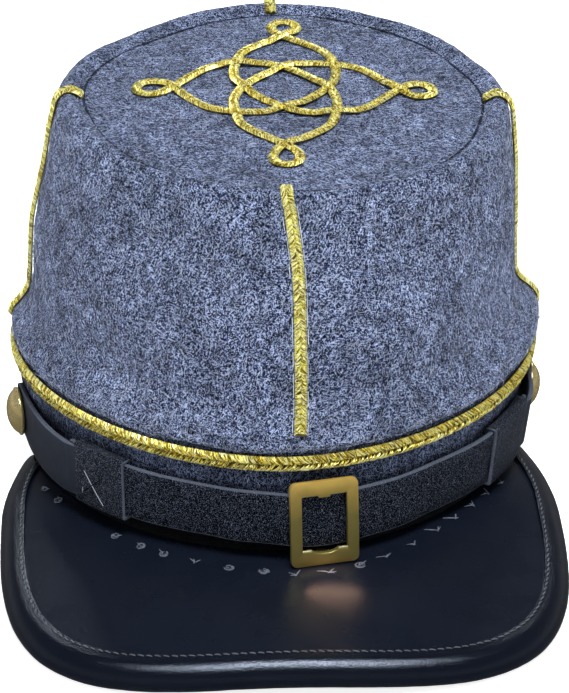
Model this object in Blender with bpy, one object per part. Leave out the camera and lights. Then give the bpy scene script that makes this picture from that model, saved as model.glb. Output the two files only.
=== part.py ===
"""A kepi cap, built as the real one is sewn.

A wool band carries a soft wool crown whose round top leans forward. Gold braid runs round the band,
up the four quarters of the crown and into a knot on the top. A leather visor with a rolled edge is
set under the band, and a leather chin strap with a brass buckle runs over it between two buttons.

Sizes are in millimetres and are turned into metres when a mesh is made. X is to the right and Y to
the back of the cap, Z is up from the plane of the band's lower edge. The whole cap hangs on an empty
that leans it back until it rests on the visor's rolled edge and the back of the band.
"""
import math
from collections import namedtuple

import bmesh
import bpy
from mathutils import Matrix, Vector

MM = 0.001
GAP = 0.3

# Driving sizes
AROUND = 60
BAND_HEIGHT = 33.0
BAND_WALL = 2.2
CROWN_WALL = 2.0
BRAID_LEVEL = 30.0
BAND_BRAID_WIDTH = 4.4
BAND_BRAID_THICK = 1.7
CROWN_BRAID_WIDTH = 3.3
CROWN_BRAID_THICK = 1.4
KNOT_BRAID_WIDTH = 2.7
KNOT_BRAID_THICK = 1.2

# Wool band, from its lower edge up. Each row is an oval: its half sizes, squareness and shift to the right
BandRow = namedtuple("BandRow", "height half length squareness shift")
BAND_ROWS = (
    BandRow(0.0, 76.3, 93.0, 1.95, -2.5),
    BandRow(16.0, 78.1, 94.6, 1.90, -1.6),
    BandRow(BAND_HEIGHT, 80.6, 96.0, 1.85, -0.5),
)

# Wool crown, from the band's seam up to the rim. Lean is the slope of the row's plane, lower at the front
CrownRow = namedtuple("CrownRow", "height lean half length centre squareness shift")
CROWN_ROWS = (
    CrownRow(BAND_HEIGHT + GAP, 0.000, 80.6, 96.0, 0.0, 1.85, -0.5),
    CrownRow(35.4, 0.000, 81.7, 97.0, -0.1, 1.85, -0.5),
    CrownRow(38.2, 0.000, 80.9, 95.2, -0.9, 1.86, -0.5),
    CrownRow(42.3, 0.005, 77.9, 91.7, -2.1, 1.88, -0.5),
    CrownRow(48.0, 0.012, 75.2, 88.9, -3.5, 1.90, -0.6),
    CrownRow(60.0, 0.030, 74.1, 86.0, -5.8, 1.93, -0.7),
    CrownRow(72.0, 0.045, 73.4, 82.7, -7.8, 1.95, -0.4),
    CrownRow(84.0, 0.060, 71.9, 78.5, -9.9, 1.97, 0.5),
    CrownRow(95.0, 0.073, 70.5, 74.4, -12.0, 2.0, 1.3),
    CrownRow(105.0, 0.083, 69.3, 70.2, -13.8, 2.0, 1.6),
    CrownRow(112.2, 0.095, 68.2, 66.2, -15.0, 2.0, 2.0),
)
TOP_SIDE_SLOPE = -0.03

# Rim of the crown, inwards from the last row: the seam allowance makes a ridge that fades at the front
RimRow = namedtuple("RimRow", "inset rise ridge")
RIM_ROWS = (
    RimRow(0.5, 1.4, 0.6),
    RimRow(1.8, 2.3, 1.5),
    RimRow(3.6, 2.7, 1.9),
    RimRow(5.4, 2.8, 1.3),
    RimRow(6.9, 2.75, 0.3),
    RimRow(7.9, 2.7, 0.0),
)
RIDGE_AT_FRONT = 0.3
RIM_WIDTH_AT_FRONT = 0.34
TOP_DOME = 1.4
TOP_RECESS = 0.2
INNER_TURN = 3.4
INNER_TURN_AT_FRONT = 0.65
INNER_TURN_RISE = 0.4
TOP_THICK = 2.0

# Soft dents and swells of the crown's wall. Depth is inwards
Dent = namedtuple("Dent", "angle height depth spread tall")
DENTS = (
    Dent(134, 114, 4.2, 27, 26),
    Dent(84, 116, -2.2, 20, 20),
    Dent(24, 116, 1.8, 14, 14),
    Dent(-118, 96, 2.6, 20, 9),
    Dent(-60, 96, 2.4, 22, 9),
    Dent(-140, 52, 2.4, 12, 8),
    Dent(-116, 60, -1.2, 14, 12),
    Dent(-70, 62, -1.4, 24, 16),
    Dent(-32, 56, 1.6, 14, 12),
    Dent(60, 70, 2.0, 26, 18),
    Dent(122, 66, 2.4, 24, 18),
    Dent(90, 58, -2.2, 20, 14),
    Dent(0, 41, -2.5, 25, 5),
)

# Leather visor
VISOR_SLOPE = math.radians(15)
VISOR_THICK = 2.6
VISOR_HALF = 85.0
VISOR_MIDDLE = -53.2
VISOR_REACH = 88.1
VISOR_SQUARENESS = 3.42
VISOR_ROOT = -19.0
VISOR_ROOT_TAPER = 6.3
VISOR_SHIFT = -0.9
VISOR_ROOT_DROP = 1.8
VISOR_ROOT_EASE = 40.0
ROLL_CENTRE = 4.3
ROLL_DROP = 3.4
ROLL_HALF_WIDTH = 4.3
ROLL_HALF_HEIGHT = 4.4
ROLL_LIP = 7.4
ROLL_LIP_THICK = 0.7
ROLL_UNDER_THICK = 0.8
PLATE_INSET = 4.2

# Chin strap. Offsets are from the band's face to the strap's inner face, and tilt leans its lower edge out
STRAP_WIDTH = 16.6
STRAP_THICK = 1.4
LOOP_WALL = 1.0
LOOP_CORNER = 0.8
LOOP_INNER_CORNER = 0.2
END_THICK = 1.4
StrapPoint = namedtuple("StrapPoint", "angle height offset tilt")
MIDDLE_STRAP = (
    StrapPoint(-141, 13.9, 1.9, 0),
    StrapPoint(-124, 13.9, 1.9, 0),
    StrapPoint(-109, 13.7, 1.2, 0),
    StrapPoint(-98, 13.2, 1.8, 3),
    StrapPoint(-82, 12.2, 3.0, 6),
    StrapPoint(-68, 12.2, 1.9, 3),
    StrapPoint(-54, 12.7, 1.2, 0),
    StrapPoint(-38, 12.3, 1.9, 0),
    StrapPoint(-19, 12.0, 2.2, 0),
)
LEFT_LOOP = (-138.5, -126.5)
RIGHT_LOOP = (-21.5, -36.5)
LEFT_BUTTON = StrapPoint(-168, 13.1, 0.4, 0)
RIGHT_BUTTON = StrapPoint(-3, 12.0, 1.3, 0)

# Brass
BUTTON_RADIUS = 7.6
SHANK_RADIUS = 1.5
BUCKLE_ANGLE = -81.6
BUCKLE_LIFT = 0.2
BUCKLE_TURN = math.radians(3.2)
BUCKLE_WIDTH = 20.4
BUCKLE_HEIGHT = 26.9
BUCKLE_THICK = 1.6
BUCKLE_SIDE_BAR = 3.4
BUCKLE_TOP_BAR = 4.3
BUCKLE_BOTTOM_BAR = 4.8
BUCKLE_CORNER = 2.6
BUCKLE_BAR_WIDTH = 3.2
BUCKLE_BAR_THICK = 1.0

# Knot of braid on the crown's top
KNOT_HALF_WIDTH = 34.0
KNOT_HALF_LENGTH = 38.5
KNOT_CENTRE = (2.7, -13.3)
KNOT_SKEW = -0.038
REST_FLATTENING = 0.3


def clear_scene():
    for item in list(bpy.data.objects):
        bpy.data.objects.remove(item, do_unlink=True)


def material(name, colour, roughness, metallic=0.0):
    made = bpy.data.materials.new(name)
    made.use_nodes = True
    shader = made.node_tree.nodes["Principled BSDF"]
    shader.inputs["Base Color"].default_value = (*colour, 1.0)
    shader.inputs["Roughness"].default_value = roughness
    shader.inputs["Metallic"].default_value = metallic
    return made


def smoothstep(value):
    value = min(max(value, 0.0), 1.0)
    return value * value * (3.0 - 2.0 * value)


def oval(half, length, squareness, degrees):
    """Point of an oval in plan. 0 degrees is to the right, 90 to the back, -90 to the front."""
    cosine = math.cos(math.radians(degrees))
    sine = math.sin(math.radians(degrees))
    power = 2.0 / squareness
    return (half * math.copysign(abs(cosine) ** power, cosine),
            length * math.copysign(abs(sine) ** power, sine))


def angles_around(count=AROUND):
    return [360.0 * i / count for i in range(count)]


def blend_rows(rows, height):
    """Row of a table at any height, linear between its rows."""
    height = min(max(height, rows[0].height), rows[-1].height)
    for low, high in zip(rows, rows[1:]):
        if height <= high.height:
            share = (height - low.height) / (high.height - low.height)
            return type(low)(*(a + (b - a) * share for a, b in zip(low, high)))
    return rows[-1]


def solid(name, rings, finish, cap, loop=False):
    """Closed body skinned over rings of points: the last ring joins the first, or both ends are closed."""
    mesh = bmesh.new()
    made = [[mesh.verts.new(Vector(point) * MM) for point in ring] for ring in rings]
    pairs = list(zip(made, made[1:]))
    if loop:
        pairs.append((made[-1], made[0]))
    for first, second in pairs:
        for i in range(len(first)):
            k = (i + 1) % len(first)
            mesh.faces.new((first[i], first[k], second[k], second[i]))
    if not loop:
        mesh.faces.new(made[0])
        mesh.faces.new(made[-1])
    bmesh.ops.recalc_face_normals(mesh, faces=mesh.faces)
    return to_object(name, mesh, finish, cap)


def to_object(name, mesh, finish, cap):
    data = bpy.data.meshes.new(name)
    mesh.to_mesh(data)
    mesh.free()
    data.shade_smooth()
    data.set_sharp_from_angle(angle=math.radians(35))
    data.materials.append(finish)
    item = bpy.data.objects.new(name, data)
    bpy.context.scene.collection.objects.link(item)
    item.parent = cap
    return item


def combine(item, other, operation):
    """Boolean with a guide object that the finished model leaves out."""
    other.hide_render = True
    other.display_type = "WIRE"
    boolean = item.modifiers.new(other.name, "BOOLEAN")
    boolean.operation = operation
    boolean.solver = "EXACT"
    boolean.object = other


# Band

def band_face(degrees, height, inset=0.0):
    """Point of the band's outer face, or at a distance inside it."""
    row = blend_rows(BAND_ROWS, height)
    x, y = oval(row.half - inset, row.length - inset, row.squareness, degrees)
    return Vector((x + row.shift, y, height))


def band_point(degrees, height, offset=0.0):
    """Point at a distance outside the band's outer face."""
    return band_face(degrees, height) + band_frame(degrees, height)[2] * offset


def band_frame(degrees, height):
    """Unit vectors on the band's face: along it (anticlockwise from above), up it, and out of it."""
    low = max(height - 2.0, 0.0)
    high = min(height + 2.0, BAND_HEIGHT)
    along = (band_face(degrees + 0.5, height) - band_face(degrees - 0.5, height)).normalized()
    out = along.cross(band_face(degrees, high) - band_face(degrees, low)).normalized()
    return along, out.cross(along), out


def make_band(finish, cap):
    """Wool band: outer face up, inner face down."""
    around = angles_around()
    rings = [[band_face(a, row.height) for a in around] for row in BAND_ROWS]
    rings += [[band_face(a, row.height, BAND_WALL) for a in around] for row in reversed(BAND_ROWS)]
    return solid("band", rings, finish, cap, loop=True)


# Crown

def dent_depth(degrees, height):
    depth = 0.0
    for dent in DENTS:
        turn = (degrees - dent.angle + 180.0) % 360.0 - 180.0
        depth += dent.depth * math.exp(-(turn / dent.spread) ** 2 - ((height - dent.height) / dent.tall) ** 2)
    return depth


def top_share(row):
    """0 at the band, 1 at the rim: how far the row has taken up the top's lean."""
    return row.lean / CROWN_ROWS[-1].lean


def crown_point(row, degrees, inset=0.0, rise=0.0):
    inset += dent_depth(degrees, row.height)
    x, y = oval(row.half - inset, row.length - inset, row.squareness, degrees)
    x += row.shift
    y += row.centre
    side = TOP_SIDE_SLOPE * top_share(row)
    return Vector((x, y, row.height + rise + row.lean * y + side * x))


def from_front(degrees, at_front):
    """Share that grows from a given value at the front to 1 at the sides and the back."""
    return at_front + (1.0 - at_front) * smoothstep((math.sin(math.radians(degrees)) + 1.0) / 0.8)


def rim_point(rim, degrees, below=0.0):
    """Point of the rim. The rim is narrow at the front, and wide with a ridge at the sides and the back."""
    ridge = rim.ridge * from_front(degrees, RIDGE_AT_FRONT)
    width = from_front(degrees, RIM_WIDTH_AT_FRONT)
    return crown_point(CROWN_ROWS[-1], degrees, rim.inset * width, rim.rise + ridge - below)


def make_crown_side(finish, cap):
    """Wool wall: up the outside, over the rim to the crease, then down the inside."""
    around = angles_around()
    rings = [[crown_point(row, a) for a in around] for row in CROWN_ROWS]
    rings += [[rim_point(rim, a) for a in around] for rim in RIM_ROWS]
    rings.append([rim_point(RIM_ROWS[-1], a, CROWN_WALL) for a in around])
    turns = [(a, INNER_TURN * from_front(a, INNER_TURN_AT_FRONT)) for a in around]
    rings.append([crown_point(CROWN_ROWS[-1], a, turn, INNER_TURN_RISE) for a, turn in turns])
    rings += [[crown_point(row, a, CROWN_WALL) for a in around] for row in reversed(CROWN_ROWS[:-1:2])]
    return solid("crown_side", rings, finish, cap, loop=True)


def top_centre():
    row = CROWN_ROWS[-1]
    return Vector((row.shift, row.centre))


def top_edge(degrees, gap=0.0):
    """Edge of the top's round in plan: the rim's crease, or a gap inside it."""
    crease = rim_point(RIM_ROWS[-1], degrees).xy
    inward = top_centre() - crease
    return crease + inward.normalized() * gap


def top_height(x, y):
    """Height of the crown's top: a shallow dome in a plane that leans forward and a little to the left."""
    row = CROWN_ROWS[-1]
    rise = RIM_ROWS[-1].rise
    away = Vector((x, y)) - top_centre()
    share = min(away.length / (row.length - RIM_ROWS[-1].inset), 1.0)
    dome = TOP_DOME * (1.0 - share * share)
    return row.height + rise - TOP_RECESS + row.lean * y + TOP_SIDE_SLOPE * x + dome


def make_crown_top(finish, cap):
    """Round top, recessed inside the rim."""

    def ring(share, below):
        points = []
        for a in angles_around():
            place = top_centre().lerp(top_edge(a, GAP), share)
            points.append((place.x, place.y, top_height(place.x, place.y) - below))
        return points

    rings = [ring(share, 0.0) for share in (0.12, 0.4, 0.7, 1.0)]
    rings += [ring(share, TOP_THICK) for share in (1.0, 0.12)]
    return solid("crown_top", rings, finish, cap)


# Braids

ROUND_BACK = ((-0.5, 0.0), (-0.46, 0.6), (-0.22, 1.0), (0.22, 1.0), (0.46, 0.6), (0.5, 0.0))
FLAT_BACK = ((-0.5, 0.0), (-0.3, 1.0), (0.3, 1.0), (0.5, 0.0))


def place_section(shape, width, thick, base, across, out):
    """Braid's section on its flat base: across it, and out from what it lies on."""
    return [base + across * (u * width) + out * (GAP + w * thick) for u, w in shape]


def make_band_braid(finish, cap):
    rings = []
    for a in angles_around():
        along, up, out = band_frame(a, BRAID_LEVEL)
        base = band_point(a, BRAID_LEVEL)
        rings.append(place_section(ROUND_BACK, BAND_BRAID_WIDTH, BAND_BRAID_THICK, base, up, out))
    return solid("band_braid", rings, finish, cap, loop=True)


# The front braid wanders a little: its angle on each row of the crown from its foot up, and over the rim
FRONT_BRAID_ANGLES = (
    -87.15, -86.9, -86.65, -86.7, -87.0, -87.85, -89.0, -90.2, -91.4, -91.6, -91.8, -91.9, -91.9, -91.9, -91.9,
)


def quarter_path(foot_angle, top_angle, foot_row, angles=None):
    """Places up the crown's wall and over its rim, each with the direction across the braid and out."""
    rows = [(crown_point, row) for row in CROWN_ROWS[foot_row:]] + [(rim_point, rim) for rim in RIM_ROWS]
    path = []
    for index, (place, row) in enumerate(rows):
        share = smoothstep(index / (len(CROWN_ROWS) - foot_row))
        degrees = angles[index] if angles else foot_angle + (top_angle - foot_angle) * share
        across = (place(row, degrees + 1) - place(row, degrees - 1)).normalized()
        path.append((place(row, degrees), across))
    return path


def make_quarter_braid(name, foot_angle, top_angle, foot_row, finish, cap, angles=None):
    path = quarter_path(foot_angle, top_angle, foot_row, angles)
    rings = []
    for index, (point, across) in enumerate(path):
        before = path[max(index - 1, 0)][0]
        after = path[min(index + 1, len(path) - 1)][0]
        tangent = (after - before).normalized()
        out = across.cross(tangent).normalized()
        sideways = tangent.cross(out)
        rings.append(place_section(ROUND_BACK, CROWN_BRAID_WIDTH, CROWN_BRAID_THICK, point, sideways, out))
    return solid(name, rings, finish, cap)


# Knot: one strand of the four, in units of the knot's half size, from the left tip to its middle
STRAND = ((-0.70, 0.36), (-0.50, 0.43), (-0.265, 0.46), (-0.08, 0.42), (0.08, 0.32), (0.21, 0.21))
# Loop beyond a tip: across it, and out from the knot's centre
TIP_LOOP = (
    (-0.08, 1.08), (-0.12, 1.19), (-0.08, 1.285), (0.0, 1.32), (0.08, 1.285), (0.12, 1.19), (0.08, 1.08),
)
KNOT_STEPS = 6
KNOT_SPACING = 2.2
KNOT_CLEARANCE = 0.4
KNOT_FLAT = 3.0
KNOT_RAMP = 7.0


def knot_controls():
    """Control points of the whole closed knot, strand by strand, each turned a quarter from the last."""
    strand = [(-1.0, 0.0)] + list(STRAND) + [(y, x) for x, y in reversed(STRAND[:-1])] + [(0.0, -1.0)]
    strand += [(across, -out) for across, out in TIP_LOOP]
    points = []
    for _ in range(4):
        points += strand
        strand = [(-y, x) for x, y in strand]
    return points


def closed_curve(points, steps):
    """Catmull-Rom curve through a closed list of points in plan."""
    curve = []
    count = len(points)
    for i in range(count):
        p0, p1, p2, p3 = (Vector(points[(i + k) % count]) for k in (-1, 0, 1, 2))
        for k in range(steps):
            t = k / steps
            curve.append(0.5 * (2 * p1 + (p2 - p0) * t + (2 * p0 - 5 * p1 + 4 * p2 - p3) * t * t
                                + (3 * p1 - p0 - 3 * p2 + p3) * t ** 3))
    return curve


def even_steps(curve, spacing):
    """The same closed curve with points an even distance apart."""
    closed = curve + [curve[0]]
    lengths = [0.0]
    for a, b in zip(closed, closed[1:]):
        lengths.append(lengths[-1] + (b - a).length)
    count = round(lengths[-1] / spacing)
    points = []
    k = 0
    for i in range(count):
        goal = lengths[-1] * i / count
        while lengths[k + 1] < goal:
            k += 1
        share = (goal - lengths[k]) / (lengths[k + 1] - lengths[k])
        points.append(closed[k].lerp(closed[k + 1], share))
    return points


def crossings(curve):
    """Places along the closed curve, in points, where it crosses itself, each with its partner."""
    count = len(curve)
    found = []
    for i in range(count):
        a, b = curve[i], curve[(i + 1) % count]
        for k in range(i + 2, count):
            if i == 0 and k == count - 1:
                continue
            c, d = curve[k], curve[(k + 1) % count]
            ab, cd, ac = b - a, d - c, c - a
            turn = ab.x * cd.y - ab.y * cd.x
            if abs(turn) < 1e-12:
                continue
            s = (ac.x * cd.y - ac.y * cd.x) / turn
            t = (ac.x * ab.y - ac.y * ab.x) / turn
            if 0 <= s < 1 and 0 <= t < 1:
                found += [i + s, k + t]
    return sorted(found)


def make_knot(finish, cap):
    """One endless braid that goes over and under itself in turn."""
    centre_x, centre_y = KNOT_CENTRE
    outline = []
    for x, y in knot_controls():
        along = KNOT_HALF_LENGTH * y
        outline.append((centre_x + KNOT_HALF_WIDTH * x - KNOT_SKEW * along, centre_y + along))
    curve = even_steps(closed_curve(outline, KNOT_STEPS), KNOT_SPACING)
    over = crossings(curve)[::2]
    count = len(curve)
    lift = KNOT_BRAID_THICK + KNOT_CLEARANCE
    up = Vector((0, 0, 1))
    rings = []
    for i, point in enumerate(curve):
        before, after = curve[i - 1], curve[(i + 1) % count]
        tangent = (after - before).normalized()
        across = Vector((tangent.y, -tangent.x, 0.0))
        nearest = min(abs((i - place + count / 2) % count - count / 2) for place in over) * KNOT_SPACING
        raised = lift * smoothstep((KNOT_RAMP - nearest) / (KNOT_RAMP - KNOT_FLAT))
        base = Vector((point.x, point.y, top_height(point.x, point.y) + raised))
        rings.append(place_section(FLAT_BACK, KNOT_BRAID_WIDTH, KNOT_BRAID_THICK, base, across, up))
    return solid("knot_braid", rings, finish, cap, loop=True)


# Visor

def base_oval(degrees):
    """Point of the band's lower edge in plan."""
    return band_face(degrees, 0.0).xy


def foot_on_band(point):
    """Angle on the band's lower edge that lies nearest to a point in plan, and the distance outside it."""
    best = min(range(-200, 21, 4), key=lambda a: (base_oval(a) - point).length)
    step = 4.0
    while step > 0.01:
        step *= 0.5
        best = min((best - step, best, best + step), key=lambda a: (base_oval(a) - point).length)
    away = point - base_oval(best)
    outside = away.dot(base_oval(best)) > 0
    return best, away.length if outside else -away.length


def seam_level(degrees):
    """Height of the visor's upper face where it leaves the band: lower at its two ends."""
    forward = -base_oval(degrees).y
    return -GAP - VISOR_ROOT_DROP * (1.0 - smoothstep((forward + VISOR_ROOT) / VISOR_ROOT_EASE))


def visor_height(point):
    degrees, distance = foot_on_band(point)
    return seam_level(degrees) - math.tan(VISOR_SLOPE) * max(distance, 0.0)


def visor_outline():
    """Outer edge of the visor in plan, right root to left root, with its outward direction."""
    right = []
    roots = 6
    for i in range(roots):
        y = VISOR_ROOT + (VISOR_MIDDLE - VISOR_ROOT) * i / roots
        taper = ((y - VISOR_MIDDLE) / (VISOR_ROOT - VISOR_MIDDLE)) ** 2
        right.append((VISOR_HALF - VISOR_ROOT_TAPER * taper, y))
    power = 2.0 / VISOR_SQUARENESS
    for degrees in (0, 3, 9, 17, 25, 33, 41, 50, 58, 66, 74, 82):
        turn = math.radians(degrees)
        x = VISOR_HALF * math.cos(turn) ** power
        right.append((x, VISOR_MIDDLE - VISOR_REACH * math.sin(turn) ** power))
    points = right + [(0.0, VISOR_MIDDLE - VISOR_REACH)] + [(-x, y) for x, y in reversed(right)]
    points = [Vector((x + VISOR_SHIFT, y)) for x, y in points]
    outline = []
    for i, point in enumerate(points):
        before = points[max(i - 1, 0)]
        after = points[min(i + 1, len(points) - 1)]
        along = (after - before).normalized()
        outline.append((point, Vector((-along.y, along.x))))
    return outline


def make_visor(finish, cap):
    """Leather plate: each ring is its section from under the band's wall out into the rolled edge."""
    shares = (0.0, 0.3, 0.65, 1.0)
    rings = []
    for point, outward in visor_outline()[1:-1]:
        edge = point - outward * PLATE_INSET
        degrees, distance = foot_on_band(edge)
        foot = base_oval(degrees)
        inward = (foot - edge).normalized() if distance > 0 else -(foot - edge).normalized()
        start = foot + inward * BAND_WALL
        places = [start] + [foot.lerp(edge, share) if distance > 0 else start.lerp(edge, 0.3 + 0.7 * share)
                            for share in shares]
        upper = [Vector((p.x, p.y, visor_height(p))) for p in places]
        lower = [p - Vector((0, 0, VISOR_THICK)) for p in reversed(upper)]
        rings.append(upper + lower)
    return solid("visor", rings, finish, cap)


def roll_section():
    """Rolled edge: outwards from the visor's outline, and up from the visor's upper face."""
    points = [(-ROLL_LIP, GAP), (-ROLL_LIP + 0.15, GAP + ROLL_LIP_THICK)]
    for degrees in (100, 70, 42, 14, -14, -42, -70, -100, -130):
        turn = math.radians(degrees)
        across = -ROLL_CENTRE + ROLL_HALF_WIDTH * math.cos(turn)
        points.append((across, -ROLL_DROP + ROLL_HALF_HEIGHT * math.sin(turn)))
    under = -VISOR_THICK - GAP
    slot = -PLATE_INSET + GAP
    points += [(-ROLL_LIP, under - ROLL_UNDER_THICK), (-ROLL_LIP, under), (slot, under), (slot, GAP)]
    return points


def roll_place(point, outward, across, rise):
    plan = point + outward * across
    inner = point + outward * min(across, -ROLL_CENTRE)
    beyond = max(across + ROLL_CENTRE, 0.0)
    level = visor_height(inner) - math.tan(VISOR_SLOPE) * beyond
    return Vector((plan.x, plan.y, level + rise))


def make_visor_binding(finish, cap):
    rings = []
    for point, outward in visor_outline():
        rings.append([roll_place(point, outward, across, rise) for across, rise in roll_section()])
    return solid("visor_binding", rings, finish, cap)


# Chin strap

def strap_place(table, degrees):
    """Row of a strap's table at any angle, eased between its rows."""
    rows = sorted(table, key=lambda row: row.angle)
    degrees = min(max(degrees, rows[0].angle), rows[-1].angle)
    for low, high in zip(rows, rows[1:]):
        if degrees <= high.angle:
            share = smoothstep((degrees - low.angle) / (high.angle - low.angle))
            return StrapPoint(*(a + (b - a) * share for a, b in zip(low, high)))
    return rows[-1]


def strap_axes(table, degrees):
    """Middle of a strap's inner face, with the directions along it, up it and out of it."""
    row = strap_place(table, degrees)
    along, up, out = band_frame(degrees, row.height)
    lean = Matrix.Rotation(-math.radians(row.tilt), 3, along)
    return band_point(degrees, row.height, row.offset), along, lean @ up, lean @ out


def strap_ring(table, degrees, width, inner, outer):
    """Oblong section of a strap across its path, between two distances outside its own inner face."""
    middle, along, up, out = strap_axes(table, degrees)
    corners = ((-0.5, inner), (0.5, inner), (0.5, outer), (-0.5, outer))
    return [middle + up * (u * width) + out * w for u, w in corners]


def make_strap_middle(finish, cap):
    count = 44
    first, last = MIDDLE_STRAP[0].angle, MIDDLE_STRAP[-1].angle
    rings = [strap_ring(MIDDLE_STRAP, first + (last - first) * i / count, STRAP_WIDTH, 0.0, STRAP_THICK)
             for i in range(count + 1)]
    return solid("strap_middle", rings, finish, cap)


def loop_ring(degrees):
    """Outer and inner section of a strap's end loop: an oblong sleeve round the middle strap."""
    middle, along, up, out = strap_axes(MIDDLE_STRAP, degrees)
    middle += out * (STRAP_THICK / 2)

    def oblong(half_width, half_depth, cut):
        w, d = half_width, half_depth
        shape = ((w, cut - d), (w, d - cut), (w - cut, d), (cut - w, d),
                 (-w, d - cut), (-w, cut - d), (cut - w, -d), (w - cut, -d))
        return [middle + up * u + out * v for u, v in shape]

    hollow_width = STRAP_WIDTH / 2 + GAP
    hollow_depth = STRAP_THICK / 2 + GAP
    outer = oblong(hollow_width + LOOP_WALL, hollow_depth + LOOP_WALL, LOOP_CORNER)
    inner = oblong(hollow_width, hollow_depth, LOOP_INNER_CORNER)
    return outer, inner


def make_end_strap(name, loop, button, finish, cap):
    """Short strap from a button to the loop that holds the middle strap."""
    count = 6
    stations = [loop[0] + (loop[1] - loop[0]) * i / count for i in range(count + 1)]
    sections = [loop_ring(degrees) for degrees in stations]
    rings = [outer for outer, inner in sections] + [inner for outer, inner in reversed(sections)]
    sleeve = solid(name, rings, finish, cap, loop=True)

    at_loop = strap_place(MIDDLE_STRAP, loop[0])
    seat = at_loop.offset + STRAP_THICK + GAP + 0.1
    towards = math.copysign(1.0, button.angle - loop[0])
    table = (
        StrapPoint(loop[0] - towards * 3.0, at_loop.height, seat, at_loop.tilt),
        StrapPoint(loop[0] + towards * 1.0, at_loop.height, seat, at_loop.tilt),
        button,
        StrapPoint(button.angle + towards * 7.0, button.height, button.offset, button.tilt),
    )
    steps = 14
    last = button.angle + towards * 5.5
    tail = []
    for i in range(steps + 1):
        degrees = table[0].angle + (last - table[0].angle) * i / steps
        outside = smoothstep((degrees - loop[0]) * towards / 3.0)
        thick = LOOP_WALL - 0.2 + (END_THICK - LOOP_WALL + 0.2) * outside
        past_button = max((degrees - button.angle) * towards / 5.5, 0.0)
        width = (STRAP_WIDTH - 0.4) * math.sqrt(1.0 - 0.7 * past_button ** 2)
        tail.append(strap_ring(table, degrees, width, 0.0, thick))
    ribbon = solid(name + "_ribbon", tail, finish, cap)
    combine(sleeve, ribbon, "UNION")

    hole = []
    centre, out, up, along = button_seat(button)
    for depth in (-3.0, 6.0):
        ring = []
        for i in range(12):
            turn = 2 * math.pi * i / 12
            spoke = up * math.cos(turn) + along * math.sin(turn)
            ring.append(centre + out * depth + spoke * (SHANK_RADIUS + GAP))
        hole.append(ring)
    combine(sleeve, solid(name + "_hole", hole, finish, cap), "DIFFERENCE")
    return sleeve


def button_seat(button):
    """Point on the strap's outer face under a button, with the directions out, up and along."""
    along, up, out = band_frame(button.angle, button.height)
    return band_point(button.angle, button.height, button.offset + END_THICK), out, up, along


# Domed button: radius and height above its back, from the middle of the dome to the back
BUTTON_PROFILE = (
    (0.35, 4.5), (2.6, 4.25), (5.0, 3.3), (6.6, 1.9), (7.0, 1.3), (BUTTON_RADIUS, 1.1), (BUTTON_RADIUS, 0.5),
    (6.9, 0.0),
)


def make_button(name, button, finish, cap):
    """Domed button whose shank goes through the strap and ends just off the band."""
    centre, out, up, along = button_seat(button)
    shank = ((SHANK_RADIUS, 0.0), (SHANK_RADIUS, -button.offset - END_THICK))
    sides = 16
    rings = []
    for radius, height in BUTTON_PROFILE + shank:
        ring = []
        for i in range(sides):
            turn = 2 * math.pi * i / sides
            spoke = up * math.cos(turn) + along * math.sin(turn)
            ring.append(centre + out * (GAP + height) + spoke * radius)
        rings.append(ring)
    return solid(name, rings, finish, cap)


# Buckle

def make_buckle(finish, cap):
    """Stamped frame in front of the strap, with its middle bar behind the strap."""
    middle, along, up, out = strap_axes(MIDDLE_STRAP, BUCKLE_ANGLE)
    turn = Matrix.Rotation(BUCKLE_TURN, 3, out)
    right = turn @ along
    rise = turn @ up
    origin = middle + up * BUCKLE_LIFT
    back = STRAP_THICK + GAP
    half_width, half_height = BUCKLE_WIDTH / 2, BUCKLE_HEIGHT / 2

    def block(name, corners, near, far):
        rings = [[origin + right * x + rise * y + out * depth for x, y in corners] for depth in (near, far)]
        return solid(name, rings, finish, cap)

    outer = []
    for centre_x, centre_y, start in ((1, 1, 0), (-1, 1, 90), (-1, -1, 180), (1, -1, 270)):
        for degrees in (start, start + 30, start + 60, start + 90):
            arc = math.radians(degrees)
            outer.append((centre_x * (half_width - BUCKLE_CORNER) + BUCKLE_CORNER * math.cos(arc),
                          centre_y * (half_height - BUCKLE_CORNER) + BUCKLE_CORNER * math.sin(arc)))
    frame = block("buckle", outer, back, back + BUCKLE_THICK)
    side = half_width - BUCKLE_SIDE_BAR
    top = half_height - BUCKLE_TOP_BAR
    bottom = BUCKLE_BOTTOM_BAR - half_height
    window = ((-side, bottom), (side, bottom), (side, top), (-side, top))
    combine(frame, block("buckle_window", window, back - 5, back + 5), "DIFFERENCE")

    bar = BUCKLE_BAR_WIDTH / 2
    bar_front = -GAP
    bar_back = bar_front - BUCKLE_BAR_THICK
    strap_edge = STRAP_WIDTH / 2 + GAP
    for name, low, high in (("top", strap_edge, top + 1.0), ("bottom", bottom - 1.0, -strap_edge)):
        web = ((-bar, low), (bar, low), (bar, high), (-bar, high))
        combine(frame, block("buckle_web_" + name, web, bar_back, back + 0.6), "UNION")
    half, low, high = bar - 0.1, bottom - 0.6, top + 0.6
    middle = ((-half, low), (half, low), (half, high), (-half, high))
    combine(frame, block("buckle_bar", middle, bar_back + 0.1, bar_front), "UNION")
    return frame


# Resting pose

def ground_normal(binding):
    """Upward normal of the plane through the heel and the first point to touch on each side of the visor."""
    heel = Vector((0.0, BAND_ROWS[0].length, 0.0))

    def first_to_touch(side):
        points = [v.co / MM for v in binding.data.vertices if v.co.x * side > 0.0]
        return max(points, key=lambda p: math.atan2(heel.z - p.z, heel.y - p.y))

    return (first_to_touch(-1) - heel).cross(first_to_touch(1) - heel)


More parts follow.
